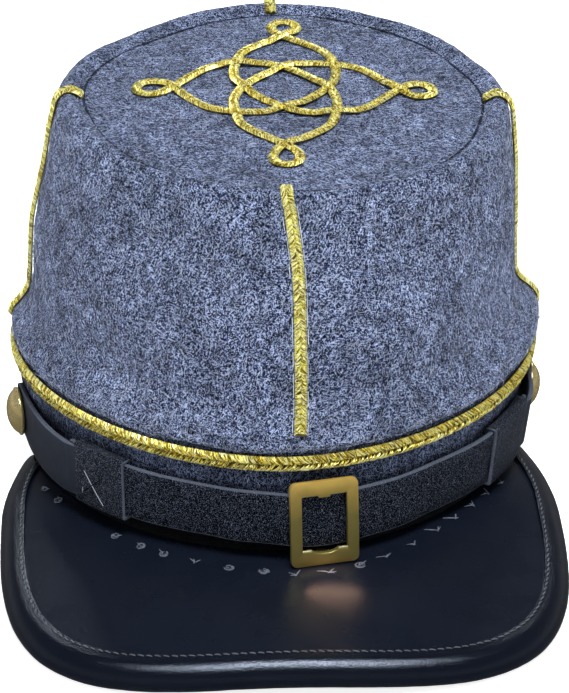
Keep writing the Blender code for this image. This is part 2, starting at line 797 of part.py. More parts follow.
def settle(cap, binding):
    """Lean the cap back, set it on the ground, and press what touches the ground flat."""
    cap.rotation_euler = ground_normal(binding).rotation_difference(Vector((0, 0, 1))).to_euler()
    bpy.context.view_layer.update()
    resting = [bpy.data.objects["band"], binding]
    lowest = min((item.matrix_world @ v.co).z for item in resting for v in item.data.vertices)
    cap.location.z -= lowest + REST_FLATTENING * MM
    bpy.context.view_layer.update()
    for item in resting:
        back = item.matrix_world.inverted()
        for vertex in item.data.vertices:
            place = item.matrix_world @ vertex.co
            if place.z < 0.0:
                vertex.co = back @ Vector((place.x, place.y, 0.0))


def centre_in_plan(cap, items):
    """Move the cap so that its box is centred over the origin."""
    points = [item.matrix_world @ vertex.co for item in items for vertex in item.data.vertices]
    cap.location.x -= (min(p.x for p in points) + max(p.x for p in points)) / 2
    cap.location.y -= (min(p.y for p in points) + max(p.y for p in points)) / 2
    bpy.context.view_layer.update()


def main():
    clear_scene()
    wool = material("wool", (0.115, 0.135, 0.20), 0.95)
    gold = material("gold_braid", (0.62, 0.42, 0.07), 0.42, 0.75)
    visor_leather = material("visor_leather", (0.012, 0.014, 0.022), 0.35)
    strap_leather = material("strap_leather", (0.022, 0.024, 0.032), 0.6)
    brass = material("brass", (0.36, 0.24, 0.08), 0.38, 0.9)

    cap = bpy.data.objects.new("kepi", None)
    bpy.context.scene.collection.objects.link(cap)

    items = [
        make_band(wool, cap),
        make_crown_side(wool, cap),
        make_crown_top(wool, cap),
        make_band_braid(gold, cap),
        make_quarter_braid("braid_front", -87.15, -91.9, 2, gold, cap, FRONT_BRAID_ANGLES),
        make_quarter_braid("braid_back", 90.0, 91.0, 1, gold, cap),
        make_quarter_braid("braid_right", 5.0, -2.5, 1, gold, cap),
        make_quarter_braid("braid_left", 175.0, 182.5, 1, gold, cap),
        make_knot(gold, cap),
        make_visor(visor_leather, cap),
    ]
    binding = make_visor_binding(visor_leather, cap)
    items += [
        binding,
        make_strap_middle(strap_leather, cap),
        make_end_strap("strap_left", LEFT_LOOP, LEFT_BUTTON, strap_leather, cap),
        make_end_strap("strap_right", RIGHT_LOOP, RIGHT_BUTTON, strap_leather, cap),
        make_buckle(brass, cap),
        make_button("button_left", LEFT_BUTTON, brass, cap),
        make_button("button_right", RIGHT_BUTTON, brass, cap),
    ]
    settle(cap, binding)
    centre_in_plan(cap, items)


main()
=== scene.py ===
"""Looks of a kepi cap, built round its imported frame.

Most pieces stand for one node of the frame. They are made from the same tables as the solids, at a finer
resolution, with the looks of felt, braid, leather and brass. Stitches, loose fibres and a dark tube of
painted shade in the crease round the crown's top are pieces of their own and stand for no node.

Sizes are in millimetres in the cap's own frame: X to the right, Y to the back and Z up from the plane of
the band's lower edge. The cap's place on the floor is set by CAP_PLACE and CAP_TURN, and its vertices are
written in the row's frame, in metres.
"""
import math
import random
from collections import namedtuple

import bmesh
import bpy
import numpy as np
from mathutils import Euler, Matrix, Vector, noise


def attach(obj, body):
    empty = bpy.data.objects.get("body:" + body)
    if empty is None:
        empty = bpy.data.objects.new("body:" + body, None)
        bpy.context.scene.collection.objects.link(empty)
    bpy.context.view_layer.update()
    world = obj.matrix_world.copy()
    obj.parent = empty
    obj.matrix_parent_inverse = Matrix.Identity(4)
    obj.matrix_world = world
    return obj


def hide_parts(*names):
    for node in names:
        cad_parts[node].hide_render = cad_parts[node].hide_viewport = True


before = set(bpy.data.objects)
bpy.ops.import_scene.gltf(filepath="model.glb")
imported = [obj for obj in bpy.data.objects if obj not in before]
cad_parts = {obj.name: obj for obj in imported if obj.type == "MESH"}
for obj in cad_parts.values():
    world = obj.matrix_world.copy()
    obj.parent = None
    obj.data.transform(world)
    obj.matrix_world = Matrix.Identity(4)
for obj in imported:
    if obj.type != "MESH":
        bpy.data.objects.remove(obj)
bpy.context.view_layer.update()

MM = 0.001
GAP = 0.3

# Place of the cap's frame where it rests on the floor: metres and degrees
CAP_PLACE = (0.0008733682, 0.0203751884, 0.0091052344)
CAP_TURN = (-5.796104933, -0.216763044, 0.010973368)
CAP = Matrix.LocRotScale(Vector(CAP_PLACE), Euler([math.radians(v) for v in CAP_TURN]), None)
CAP_AXES = np.array(CAP.to_3x3())
CAP_ORIGIN = np.array(CAP_PLACE)

# Driving sizes
BAND_HEIGHT = 33.0
BAND_WALL = 2.2
CROWN_WALL = 2.0
BRAID_LEVEL = 30.0
BAND_BRAID_WIDTH = 4.4
BAND_BRAID_THICK = 1.7
CROWN_BRAID_WIDTH = 3.3
CROWN_BRAID_THICK = 1.4
KNOT_BRAID_WIDTH = 2.7 * 1.02
KNOT_BRAID_THICK = 1.2

# Distance from each metal thread to the next along a braid
BAND_THREADS = 0.34
CROWN_THREADS = 0.30
KNOT_THREADS = 0.32

# Wool band, from its lower edge up. Each row is an oval: its half sizes, squareness and shift to the right
BandRow = namedtuple("BandRow", "height half length squareness shift")
BAND_ROWS = tuple(BandRow(*row) for row in (
    (0.0, 76.3, 93.0, 1.95, -2.5),
    (16.0, 78.1, 94.6, 1.90, -1.6),
    (BAND_HEIGHT, 80.6, 96.0, 1.85, -0.5),
))

# Wool crown, from the band's seam up to the rim. Lean is the slope of the row's plane, lower at the front
CrownRow = namedtuple("CrownRow", "height lean half length centre squareness shift")
CROWN_ROWS = tuple(CrownRow(*row) for row in (
    (BAND_HEIGHT + GAP, 0.000, 80.6, 96.0, 0.0, 1.85, -0.5),
    (35.4, 0.000, 81.7, 97.0, -0.1, 1.85, -0.5),
    (38.2, 0.000, 80.9, 95.2, -0.9, 1.86, -0.5),
    (42.3, 0.005, 77.9, 91.7, -2.1, 1.88, -0.5),
    (48.0, 0.012, 75.2, 88.9, -3.5, 1.90, -0.6),
    (60.0, 0.030, 74.1, 86.0, -5.8, 1.93, -0.7),
    (72.0, 0.045, 73.4, 82.7, -7.8, 1.95, -0.4),
    (84.0, 0.060, 71.9, 78.5, -9.9, 1.97, 0.5),
    (95.0, 0.073, 70.5, 74.4, -12.0, 2.0, 1.3),
    (105.0, 0.083, 69.3, 70.2, -13.8, 2.0, 1.6),
    (112.2, 0.095, 68.2, 66.2, -15.0, 2.0, 2.0),
))
TOP_SIDE_SLOPE = -0.03

# Rim of the crown, inwards from the last row: the seam allowance makes a ridge that fades at the front
RimRow = namedtuple("RimRow", "inset rise ridge")
RIM_ROWS = tuple(RimRow(*row) for row in (
    (0.5, 1.4, 0.6),
    (1.8, 2.3, 1.5),
    (3.6, 2.7, 1.9),
    (5.4, 2.8, 1.3),
    (6.9, 2.75, 0.3),
    (7.9, 2.7, 0.0),
))
RIDGE_AT_FRONT = 0.3
RIM_WIDTH_AT_FRONT = 0.34
TOP_DOME = 1.4
TOP_RECESS = 0.2
INNER_TURN = 3.4
INNER_TURN_AT_FRONT = 0.65
INNER_TURN_RISE = 0.4
TOP_THICK = 2.0

# The crown's top runs into the wall by this much, and a dark tube of painted shade lies where they meet
TOP_OVERLAP = 0.5
CREASE_INSET = 0.15
CREASE_HALF_WIDTH = 0.5
CREASE_HALF_HEIGHT = 0.22

# Steps of the mesh round the cap, and between one row of a table and the next
STEPS_ROUND = 240
CROWN_STEPS_ROUND = 300
WALL_STEPS = 6
RIM_STEPS = 4

# Soft dents and swells of the crown's wall. Depth is inwards
Dent = namedtuple("Dent", "angle height depth spread tall")
DENTS = tuple(Dent(*row) for row in (
    (134, 114, 4.2, 27, 26),
    (84, 116, -2.2, 20, 20),
    (24, 116, 1.8, 14, 14),
    (-118, 96, 2.6, 20, 9),
    (-60, 96, 2.4, 22, 9),
    (-140, 52, 2.4, 12, 8),
    (-116, 60, -1.2, 14, 12),
    (-70, 62, -1.4, 24, 16),
    (-32, 56, 1.6, 14, 12),
    (60, 70, 2.0, 26, 18),
    (122, 66, 2.4, 24, 18),
    (90, 58, -2.2, 20, 14),
    (0, 41, -2.5, 25, 5),
))

# Leather visor
VISOR_SLOPE = math.radians(15)
VISOR_THICK = 2.6
VISOR_HALF = 85.0
VISOR_MIDDLE = -53.2
VISOR_REACH = 88.1
VISOR_SQUARENESS = 3.42
VISOR_ROOT = -19.0
VISOR_ROOT_TAPER = 6.3
VISOR_SHIFT = -0.9
VISOR_ROOT_DROP = 1.8
VISOR_ROOT_EASE = 40.0
ROLL_CENTRE = 4.3
ROLL_DROP = 3.4
ROLL_HALF_WIDTH = 4.3
ROLL_HALF_HEIGHT = 4.4
ROLL_LIP = 7.4
ROLL_LIP_THICK = 0.7
ROLL_UNDER_THICK = 0.8
PLATE_INSET = 4.2

# Chin strap. Offsets are from the band's face to the strap's inner face, and tilt leans its lower edge out
STRAP_WIDTH = 16.6
STRAP_THICK = 1.4
LOOP_WALL = 1.0
LOOP_CORNER = 0.8
SLEEVE_BOW = 1.5
END_THICK = 1.4
END_PAST_BUTTON = 5.5
StrapPoint = namedtuple("StrapPoint", "angle height offset tilt")
MIDDLE_STRAP = tuple(StrapPoint(*row) for row in (
    (-141, 13.9, 1.9, 0),
    (-124, 13.9, 1.9, 0),
    (-109, 13.7, 1.2, 0),
    (-98, 13.2, 1.8, 3),
    (-82, 12.2, 3.0, 6),
    (-68, 12.2, 1.9, 3),
    (-54, 12.7, 1.2, 0),
    (-38, 12.3, 1.9, 0),
    (-19, 12.0, 2.2, 0),
))
LEFT_LOOP = (-138.5, -126.5)
RIGHT_LOOP = (-21.5, -36.5)
LEFT_BUTTON = StrapPoint(-168, 13.1, 0.4, 0)
RIGHT_BUTTON = StrapPoint(-3, 12.0, 1.3, 0)

# Brass
BUTTON_RADIUS = 7.6
SHANK_RADIUS = 1.5
BUCKLE_ANGLE = -81.6
BUCKLE_LIFT = -0.15
BUCKLE_TURN = math.radians(1.0)
BUCKLE_WIDTH = 20.4
BUCKLE_HEIGHT = 26.9
BUCKLE_THICK = 1.6
BUCKLE_SIDE_BAR = 3.4
BUCKLE_TOP_BAR = 4.3
BUCKLE_BOTTOM_BAR = 4.8
BUCKLE_CORNER = 1.9
BUCKLE_BAR_WIDTH = 3.2
BUCKLE_BAR_THICK = 1.0
BUCKLE_BOW = 0.3
BUCKLE_EASE = 0.24

# Knot of braid on the crown's top
KNOT_HALF_WIDTH = 34.0
KNOT_HALF_LENGTH = 38.5
KNOT_CENTRE = (2.7, -13.3)
KNOT_SKEW = -0.038
# Half a strand, from one side of the knot to its corner, and the loop at a tip, in shares of the half sizes
STRAND = ((-0.70, 0.36), (-0.50, 0.43), (-0.265, 0.46), (-0.08, 0.42), (0.08, 0.32), (0.21, 0.21))
TIP_LOOP = (
    (-0.09, 1.08), (-0.135, 1.19), (-0.09, 1.295), (0.0, 1.335), (0.09, 1.295), (0.135, 1.19), (0.09, 1.08),
)
KNOT_LIFT = 0.70
KNOT_FLAT = 1.6
KNOT_RAMP = 7.0
KNOT_STEP = 1.1
KNOT_SOFTEN = 5


# Materials

def fill_ramp(ramp, stops):
    """Sets a colour ramp's stops: pairs of position and colour, or of position and grey."""
    while len(ramp.elements) < len(stops):
        ramp.elements.new(0.5)
    for element, (position, colour) in zip(ramp.elements, stops):
        element.position = position
        element.color = (*colour, 1.0) if isinstance(colour, tuple) else (colour, colour, colour, 1.0)


def scaled(colour, share):
    return tuple(c * share for c in colour)


class Nodes:
    """Short hand for wiring a material's nodes."""

    def __init__(self, name, roughness, metallic=0.0, sheen=0.0, specular=0.5):
        self.material = bpy.data.materials.new(name)
        self.material.use_nodes = True
        self.tree = self.material.node_tree
        self.shader = self.tree.nodes["Principled BSDF"]
        self.shader.inputs["Roughness"].default_value = roughness
        self.shader.inputs["Metallic"].default_value = metallic
        self.shader.inputs["Sheen Weight"].default_value = sheen
        self.shader.inputs["Specular IOR Level"].default_value = specular
        self.place = self.tree.nodes.new("ShaderNodeTexCoord").outputs["Object"]

    def add(self, kind, **inputs):
        node = self.tree.nodes.new(kind)
        for name, value in inputs.items():
            self.join(value, node.inputs[name.replace("_", " ")])
        return node

    def join(self, value, socket):
        if isinstance(value, bpy.types.NodeSocket):
            self.tree.links.new(value, socket)
        else:
            socket.default_value = value

    def noise(self, scale, detail=2.0, rough=0.5, place=None):
        node = self.add("ShaderNodeTexNoise", Scale=scale, Detail=detail, Roughness=rough)
        self.join(place or self.place, node.inputs["Vector"])
        return node.outputs["Fac"]

    def cells(self, scale):
        node = self.add("ShaderNodeTexVoronoi", Scale=scale)
        node.feature = "SMOOTH_F1"
        self.join(self.place, node.inputs["Vector"])
        return node.outputs["Distance"]

    def streaks(self, tilt, heading, long, short):
        """Noise drawn out along one direction, which looks like fibres. Sizes are in millimetres."""
        node = self.add("ShaderNodeMapping")
        node.vector_type = "TEXTURE"
        self.join(self.place, node.inputs["Vector"])
        node.inputs["Rotation"].default_value = (0.0, math.radians(tilt), math.radians(heading))
        node.inputs["Scale"].default_value = (long * MM, short * MM, short * MM)
        return self.noise(1.0, 1.0, 0.5, node.outputs["Vector"])

    def most(self, values):
        """The largest of several values at each place."""
        found = values[0]
        for value in values[1:]:
            found = self.maths("MAXIMUM", found, value)
        return found

    def ramp(self, value, *stops):
        node = self.add("ShaderNodeValToRGB", Fac=value)
        fill_ramp(node.color_ramp, stops)
        return node.outputs["Color"]

    def maths(self, operation, first, second=0.0):
        node = self.tree.nodes.new("ShaderNodeMath")
        node.operation = operation
        self.join(first, node.inputs[0])
        self.join(second, node.inputs[1])
        return node.outputs[0]

    def mix(self, share, first, second, blend="MIX"):
        node = self.tree.nodes.new("ShaderNodeMixRGB")
        node.blend_type = blend
        for value, socket in ((share, "Fac"), (first, "Color1"), (second, "Color2")):
            if isinstance(value, tuple) and socket != "Fac":
                value = (*value, 1.0)
            self.join(value, node.inputs[socket])
        return node.outputs["Color"]

    def finish(self, colour, height=None, depth=0.0, strength=1.0, roughness=None):
        """The material with its colour, and with a bumped surface and a changing roughness where given."""
        self.join(colour, self.shader.inputs["Base Color"])
        if roughness is not None:
            self.join(roughness, self.shader.inputs["Roughness"])
        if height is not None:
            bump = self.add("ShaderNodeBump", Height=height, Distance=depth * MM, Strength=strength)
            self.join(bump.outputs["Normal"], self.shader.inputs["Normal"])
        return self.material


# Directions of the felt's fibres: tilt from level and heading in plan, in degrees
LIGHT_FIBRES = ((8, 20), (-12, 140), (48, 75), (-50, 15), (84, 0))
DARK_FIBRES = ((5, 80), (40, 170), (-45, 120), (70, 40))


def wool_material(name, dark, middle, light, mottle=0.22):
    """Heathered felt: dark and light fibres that cross in every direction."""
    n = Nodes(name, 0.95, sheen=0.03, specular=0.04)
    speck = n.noise(1500.0, 3.0, 0.75)
    pale = n.most([n.streaks(*turn, 2.1, 0.36) for turn in LIGHT_FIBRES])
    deep = n.most([n.streaks(*turn, 1.9, 0.55) for turn in DARK_FIBRES])
    tone = n.ramp(speck, (0.42, scaled(middle, 0.16)), (0.50, middle), (0.58, scaled(middle, 2.6)))
    tone = n.mix(n.ramp(deep, (0.550, 0.0), (0.606, 0.97)), tone, dark)
    tone = n.mix(n.ramp(pale, (0.612, 0.0), (0.680, 0.95)), tone, light)
    patches = n.ramp(n.noise(210.0, 3.0, 0.65), (0.36, 1.0 - mottle * 1.5), (0.64, 1.0 + mottle * 1.2))
    tone = n.mix(1.0, tone, patches, "MULTIPLY")
    patches = n.ramp(n.noise(55.0, 3.0, 0.6), (0.35, 1.0 - mottle), (0.65, 1.0 + mottle * 0.6))
    tone = n.mix(1.0, tone, patches, "MULTIPLY")
    height = n.maths("ADD", n.maths("MULTIPLY", speck, 0.8), n.maths("MULTIPLY", pale, 0.7))
    return n.finish(tone, height, 0.6)


def hair_material(name, colour):
    n = Nodes(name, 0.7, sheen=0.1, specular=0.3)
    return n.finish(n.ramp(n.noise(300.0), (0.3, scaled(colour, 0.7)), (0.7, colour)))


def gold_material(name, dark, middle, light, metallic=0.55):
    """Metal-wrapped thread: each thread has its own tone."""
    n = Nodes(name, 0.36, metallic=metallic, specular=0.6)
    island = n.add("ShaderNodeNewGeometry").outputs["Random Per Island"]
    by_thread = n.maths("MULTIPLY", island, 0.45)
    along_thread = n.maths("MULTIPLY", n.noise(2300.0, 2.0), 0.55)
    tone = n.ramp(n.maths("ADD", by_thread, along_thread), (0.36, dark), (0.49, middle), (0.62, light))
    wound = n.noise(5200.0, 1.0)
    return n.finish(tone, wound, 0.08, 0.7, n.ramp(wound, (0.3, 0.30), (0.7, 0.52)))


LEATHER_TINT = (0.74, 0.84, 1.0, 1.0)


def leather_material(name, colour, roughness, grain, depth, specular, specks=None, wear=0.25):
    """Leather with pebbled grain of a given size in millimetres, and lighter specks on its grain that are
    painted glints.
    """
    n = Nodes(name, roughness, specular=specular)
    n.shader.inputs["Specular Tint"].default_value = LEATHER_TINT
    pebbles = n.cells(1.0 / (grain * MM))
    fine = n.noise(2.6 / (grain * MM), 2.0, 0.6)
    height = n.maths("ADD", n.maths("MULTIPLY", pebbles, -1.0), n.maths("MULTIPLY", fine, 0.35))
    patches = n.noise(60.0, 3.0, 0.55)
    tone = n.mix(patches, scaled(colour, 1.0 - wear), scaled(colour, 1.0 + wear))
    if specks:
        # Lighter specks are painted glints on the grain
        share = n.ramp(n.noise(1.9 / (grain * MM), 1.0, 0.4), (0.585, 0.0), (0.660, 1.0))
        tone = n.mix(share, tone, specks)
    rough = n.ramp(patches, (0.3, roughness - 0.06), (0.7, roughness + 0.08))
    return n.finish(tone, height, depth, 1.0, rough)


def brass_material(name, low, high, roughness, change):
    """Smooth brass, darker at its foot than at its top as painted shade and painted reflection. Change is
    where it turns.
    """
    n = Nodes(name, roughness, metallic=0.80)
    in_box = n.add("ShaderNodeTexCoord").outputs["Generated"]
    height = n.add("ShaderNodeSeparateXYZ", Vector=in_box).outputs["Z"]
    age = n.noise(110.0, 3.0, 0.5)
    share = n.maths("ADD", height, n.maths("MULTIPLY", n.maths("SUBTRACT", age, 0.5), 0.4))
    tone = n.mix(n.ramp(share, (change[0], 0.0), (change[1], 1.0)), low, high)
    return n.finish(tone, roughness=n.ramp(age, (0.3, roughness + 0.05), (0.7, roughness - 0.03)))


WOOL = wool_material("felt", (0.001, 0.003, 0.013), (0.0255, 0.038, 0.089), (0.395, 0.46, 0.665), 0.25)
# The band's felt is a darker copy of the crown's: painted shade for the shadow under the crown's bulge
SHADED_BAND_WOOL = wool_material("band_cloth_painted_shade", (0.001, 0.002, 0.007), (0.008, 0.012, 0.030), (0.15, 0.185, 0.29))
# Near-black felt that is painted shade: the shadow under the strap at the band's lower edge
STRAP_SHADOW_WOOL = wool_material("strap_shadow_painted_shade", (0.0003, 0.0004, 0.0007), (0.0007, 0.0009, 0.0016),
                          (0.004, 0.005, 0.007))
# Near-black felt that is painted shade, for the crease round the crown's top
CREASE_SHADE_WOOL = wool_material("crease_painted_shade", (0.001, 0.002, 0.006), (0.006, 0.010, 0.024),
                            (0.05, 0.065, 0.11))
FIBRE_LOOKS = [
    hair_material("light_fibre", (0.52, 0.58, 0.73)),
    hair_material("middle_fibre", (0.14, 0.17, 0.27)),
    hair_material("dark_fibre", (0.004, 0.007, 0.021)),
]
SEAM_THREAD = hair_material("seam_thread", (0.80, 0.86, 1.0))
GOLD = gold_material("gold_thread", (0.24, 0.150, 0.001), (1.0, 0.80, 0.060), (1.0, 1.0, 0.50))
# Lighter, less metallic copy of the gold for the braids up the crown: painted light
PAINTED_LIGHT_GOLD = gold_material("gold_painted_light", (0.26, 0.16, 0.001), (1.0, 0.93, 0.09), (1.0, 1.0, 0.62), 0.25)
# Dark cords under the threads: painted shade in the gaps between threads
GOLD_CORE_SHADE = gold_material("gold_core_painted_shade", (0.09, 0.06, 0.002), (0.16, 0.11, 0.004), (0.24, 0.17, 0.008))

# Leather and thread: colour, roughness, size and depth of the grain, specular level, and colour of specks
# that are painted glints
VISOR_LEATHER = leather_material("visor_plate_leather", (0.0050, 0.0072, 0.0140), 0.27, 0.36, 0.028, 0.24,
                                 wear=0.12)
ROLL_LEATHER = leather_material("visor_roll_leather", (0.0024, 0.0037, 0.0085), 0.15, 0.45, 0.085, 0.55,
                                wear=0.15)
STRAP_LEATHER = leather_material("strap_grain", (0.0004, 0.0008, 0.0030), 0.50, 0.46, 0.14, 0.05,
                                 (0.150, 0.172, 0.235))
SLEEVE_LEATHER = leather_material("sleeve_grain", (0.0022, 0.0032, 0.0070), 0.50, 0.46, 0.18, 0.10,
                                  (0.17, 0.19, 0.25))
SMOOTH_LEATHER = leather_material("strap_smooth", (0.018, 0.022, 0.034), 0.55, 0.9, 0.05, 0.25)
CUT_LEATHER = leather_material("cut_edge", (0.066, 0.076, 0.104), 0.80, 0.5, 0.10, 0.2, (0.15, 0.16, 0.19))
VISOR_THREAD = leather_material("visor_thread", (0.095, 0.103, 0.12), 0.55, 0.3, 0.05, 0.5)
HOLE_THREAD = leather_material("hole_thread", (0.115, 0.13, 0.165), 0.55, 0.3, 0.05, 0.5)
HOLE_RIM = leather_material("hole_rim", (0.042, 0.050, 0.068), 0.55, 0.3, 0.05, 0.5)
WHITE_THREAD = leather_material("white_thread", (0.36, 0.38, 0.42), 0.7, 0.3, 0.05, 0.3)
DARK_THREAD_AND_HOLE_SHADE = leather_material("dark_thread_and_hole_shade", (0.0010, 0.0013, 0.0025), 0.6, 0.3, 0.05, 0.1)
# Near-white matt colour for the slips at the foot of the buckle's window: painted highlights
HIGHLIGHT_SLIP_BRASS = leather_material("painted_highlight_brass", (0.90, 0.84, 0.60), 0.30, 0.5, 0.01, 0.8)

# Brass: colour at the foot and at the top of the piece, roughness, and the heights where the colour turns.
# The darker foot is painted shade and the lighter top painted reflection
BRASS = brass_material("brass_painted_light", (0.42, 0.345, 0.105), (1.0, 0.68, 0.17), 0.34, (0.58, 0.97))
BUTTON_BRASS = brass_material("button_brass", (0.54, 0.42, 0.17), (0.90, 0.73, 0.35), 0.25, (0.30, 0.92))


# Making meshes

def to_row(points):
    """Points of the cap's frame, in millimetres, in the row's frame, in metres and not below the floor."""
    flat = np.asarray(points, float).reshape(-1, 3) * MM
    placed = flat @ CAP_AXES.T + CAP_ORIGIN
    placed[:, 2] = np.maximum(placed[:, 2], 0.0)
    return placed


def piece(name, points, faces, finishes, nodes, looks=None, outward=True, lumps=(), sharp=40.0):
    """One piece of the cap: a mesh in the row's frame that rides with it and stands for its nodes.

    Looks picks a finish for each face, and lumps are pairs of depth and size, in millimetres.
    """
    data = bpy.data.meshes.new(name)
    data.from_pydata(to_row(points).tolist(), [], faces)
    for finish in finishes:
        data.materials.append(finish)
    if looks is not None:
        data.polygons.foreach_set("material_index", np.asarray(looks, dtype=np.int32))
    if outward:
        mesh = bmesh.new()
        mesh.from_mesh(data)
        bmesh.ops.recalc_face_normals(mesh, faces=mesh.faces)
        mesh.to_mesh(data)
        mesh.free()
    if lumps:
        normals = np.zeros(len(data.vertices) * 3)
        data.vertices.foreach_get("normal", normals)
        places = np.zeros(len(data.vertices) * 3)
        data.vertices.foreach_get("co", places)
        places, normals = places.reshape(-1, 3), normals.reshape(-1, 3)
        swell = np.zeros(len(places))
        for depth, size in lumps:
            swell += [depth * MM * noise.noise(Vector(p) / (size * MM)) for p in places]
        places = places + normals * swell[:, None]
        places[:, 2] = np.maximum(places[:, 2], 0.0)
        data.vertices.foreach_set("co", places.ravel())
    data.shade_smooth()
    data.set_sharp_from_angle(angle=math.radians(sharp))
    data.update()
    item = bpy.data.objects.new(name, data)
    bpy.context.scene.collection.objects.link(item)
    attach(item, "root")
    if nodes:
        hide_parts(*nodes)


def skin(rings, loop=False):
    """Points and faces of a body over rings of points. With loop, the last ring joins the first."""
    rings = np.asarray(rings, float)
    count, size = rings.shape[:2]
    spans = count if loop else count - 1
    faces = []
    for i in range(spans):
        k = (i + 1) % count
        for j in range(size):
            m = (j + 1) % size
            faces.append((i * size + j, i * size + m, k * size + m, k * size + j))
    if not loop:
        faces.append(tuple(range(size)))
        faces.append(tuple((count - 1) * size + j for j in range(size)))
    return rings.reshape(-1, 3), faces


def loft(name, rings, finish, nodes, loop=False, lumps=(), sharp=40.0):
    """One piece of one finish, over rings of points."""
    points, faces = skin(rings, loop)
    piece(name, points, faces, [finish], nodes, lumps=lumps, sharp=sharp)


def join(*bodies):
    """Several bodies as one, with the look of each body's faces."""
    points, faces, looks = [], [], []
    start = 0
    for body_points, body_faces, look in bodies:
        points.append(np.asarray(body_points).reshape(-1, 3))
        faces += [tuple(i + start for i in face) for face in body_faces]
        looks += [look] * len(body_faces)
        start += len(points[-1])
    return np.concatenate(points), faces, looks


def tubes(paths, outs, wide, thick, sides):
    """Many short tubes at once. paths and outs are (tubes, steps, 3), wide and thick their half sizes."""
    paths = np.asarray(paths, float)
    outs = np.asarray(outs, float)
    count, steps = paths.shape[:2]
    tangents = np.gradient(paths, axis=1)
    tangents /= np.linalg.norm(tangents, axis=2, keepdims=True) + 1e-12
    across = np.cross(tangents, outs)
    across /= np.linalg.norm(across, axis=2, keepdims=True) + 1e-12
    outs = np.cross(across, tangents)
    turn = 2 * math.pi * np.arange(sides) / sides
    wide = np.broadcast_to(wide, (count, steps))[:, :, None, None]
    thick = np.broadcast_to(thick, (count, steps))[:, :, None, None]
    rings = (paths[:, :, None, :] + across[:, :, None, :] * wide * np.cos(turn)[None, None, :, None]
             + outs[:, :, None, :] * thick * np.sin(turn)[None, None, :, None])
    k, j = np.meshgrid(np.arange(steps - 1), np.arange(sides), indexing="ij")
    m = (j + 1) % sides
    near, far = k * sides, (k + 1) * sides
    quads = np.stack((near + j, far + j, far + m, near + m), -1).reshape(-1, 4)
    per = steps * sides
    starts = np.arange(count) * per
    faces = (quads[None] + starts[:, None, None]).reshape(-1, 4).tolist()
    first = np.arange(sides)
    last = (steps - 1) * sides + np.arange(sides)[::-1]
    faces += (first[None] + starts[:, None]).tolist()
    faces += (last[None] + starts[:, None]).tolist()
    return rings.reshape(-1, 3), faces


def thread_piece(name, finishes, paths, outs, wide, thick, sides, looks=None):
    """One piece of many threads that stands for no node. Looks picks a finish for each thread."""
    points, faces = tubes(paths, outs, wide, thick, sides)
    looks = looks or [0] * len(paths)
    looks = [look for look in looks for _ in range((len(paths[0]) - 1) * sides)] + looks + looks
    piece(name, points, faces, finishes, [], looks=looks, outward=False)


def smoothstep(value):
    value = min(max(value, 0.0), 1.0)
    return value * value * (3.0 - 2.0 * value)


def oval(half, length, squareness, degrees):
    """Point of an oval in plan. 0 degrees is to the right, 90 to the back, -90 to the front."""
    cosine = math.cos(math.radians(degrees))
    sine = math.sin(math.radians(degrees))
    power = 2.0 / squareness
    return (half * math.copysign(abs(cosine) ** power, cosine),
            length * math.copysign(abs(sine) ** power, sine))


def around(count):
    """Even angles all the way round, in degrees."""
    return [360.0 * i / count for i in range(count)]


def blend_rows(rows, height):
    """Row of a table at any height, linear between its rows."""
    height = min(max(height, rows[0].height), rows[-1].height)
    for low, high in zip(rows, rows[1:]):
        if height <= high.height:
            share = (height - low.height) / (high.height - low.height)
            return type(low)(*(a + (b - a) * share for a, b in zip(low, high)))
    return rows[-1]


def smooth_curve(a, b, c, d, t):
    """Place at share t between b and c, on a smooth curve through all four."""
    return 0.5 * (2 * b + (c - a) * t
                  + (2 * a - 5 * b + 4 * c - d) * t * t
                  + (3 * b - a - 3 * c + d) * t ** 3)


def smooth_row(rows, place):
    """Row of a table at any place counted in rows, on a smooth curve through the rows."""
    place = min(max(place, 0.0), len(rows) - 1.0)
    i = min(int(place), len(rows) - 2)
    t = place - i
    four = (rows[max(i - 1, 0)], rows[i], rows[i + 1], rows[min(i + 2, len(rows) - 1)])
    return type(rows[0])(*(smooth_curve(a, b, c, d, t) for a, b, c, d in zip(*four)))


# Band

# Height of the near-black felt at the band's lower edge, below the strap: painted shade for the shadow
# there
STRAP_SHADOW_HEIGHT = 5.5


def band_face(degrees, height, inset=0.0):
    row = blend_rows(BAND_ROWS, height)
    x, y = oval(row.half - inset, row.length - inset, row.squareness, degrees)
    return Vector((x + row.shift, y, height))


def band_frame(degrees, height):
    """Unit vectors on the band's face: along it (anticlockwise from above), up it, and out of it."""
    low = max(height - 2.0, 0.0)
    high = min(height + 2.0, BAND_HEIGHT)
    along = (band_face(degrees + 0.5, height) - band_face(degrees - 0.5, height)).normalized()
    out = along.cross(band_face(degrees, high) - band_face(degrees, low)).normalized()
    return along, out.cross(along), out


def band_point(degrees, height, offset=0.0):
    return band_face(degrees, height) + band_frame(degrees, height)[2] * offset


def make_band():
    angles = around(STEPS_ROUND)
    steps = 12
    levels = [BAND_HEIGHT * i / steps for i in range(steps + 1)]
    edge = 0.5
    rings = [[band_face(a, edge * 0.2, edge * 0.5) for a in angles]]
    rings += [[band_face(a, max(level, edge)) for a in angles] for level in levels]
    rings += [[band_face(a, level, BAND_WALL) for a in angles] for level in reversed(levels[::4])]
    points, faces = skin(rings, loop=True)
    # The lowest rows outside and the inner face take the painted shade, the rest the band's felt
    first_wool = round(STRAP_SHADOW_HEIGHT / BAND_HEIGHT * steps) + 1
    looks = [0 if first_wool <= i // len(angles) <= steps + 1 else 1 for i in range(len(faces))]
    piece("band_felt", points, faces, [SHADED_BAND_WOOL, STRAP_SHADOW_WOOL], ["band"], looks=looks,
          lumps=((0.25, 9.0), (0.12, 2.5)))


# Crown

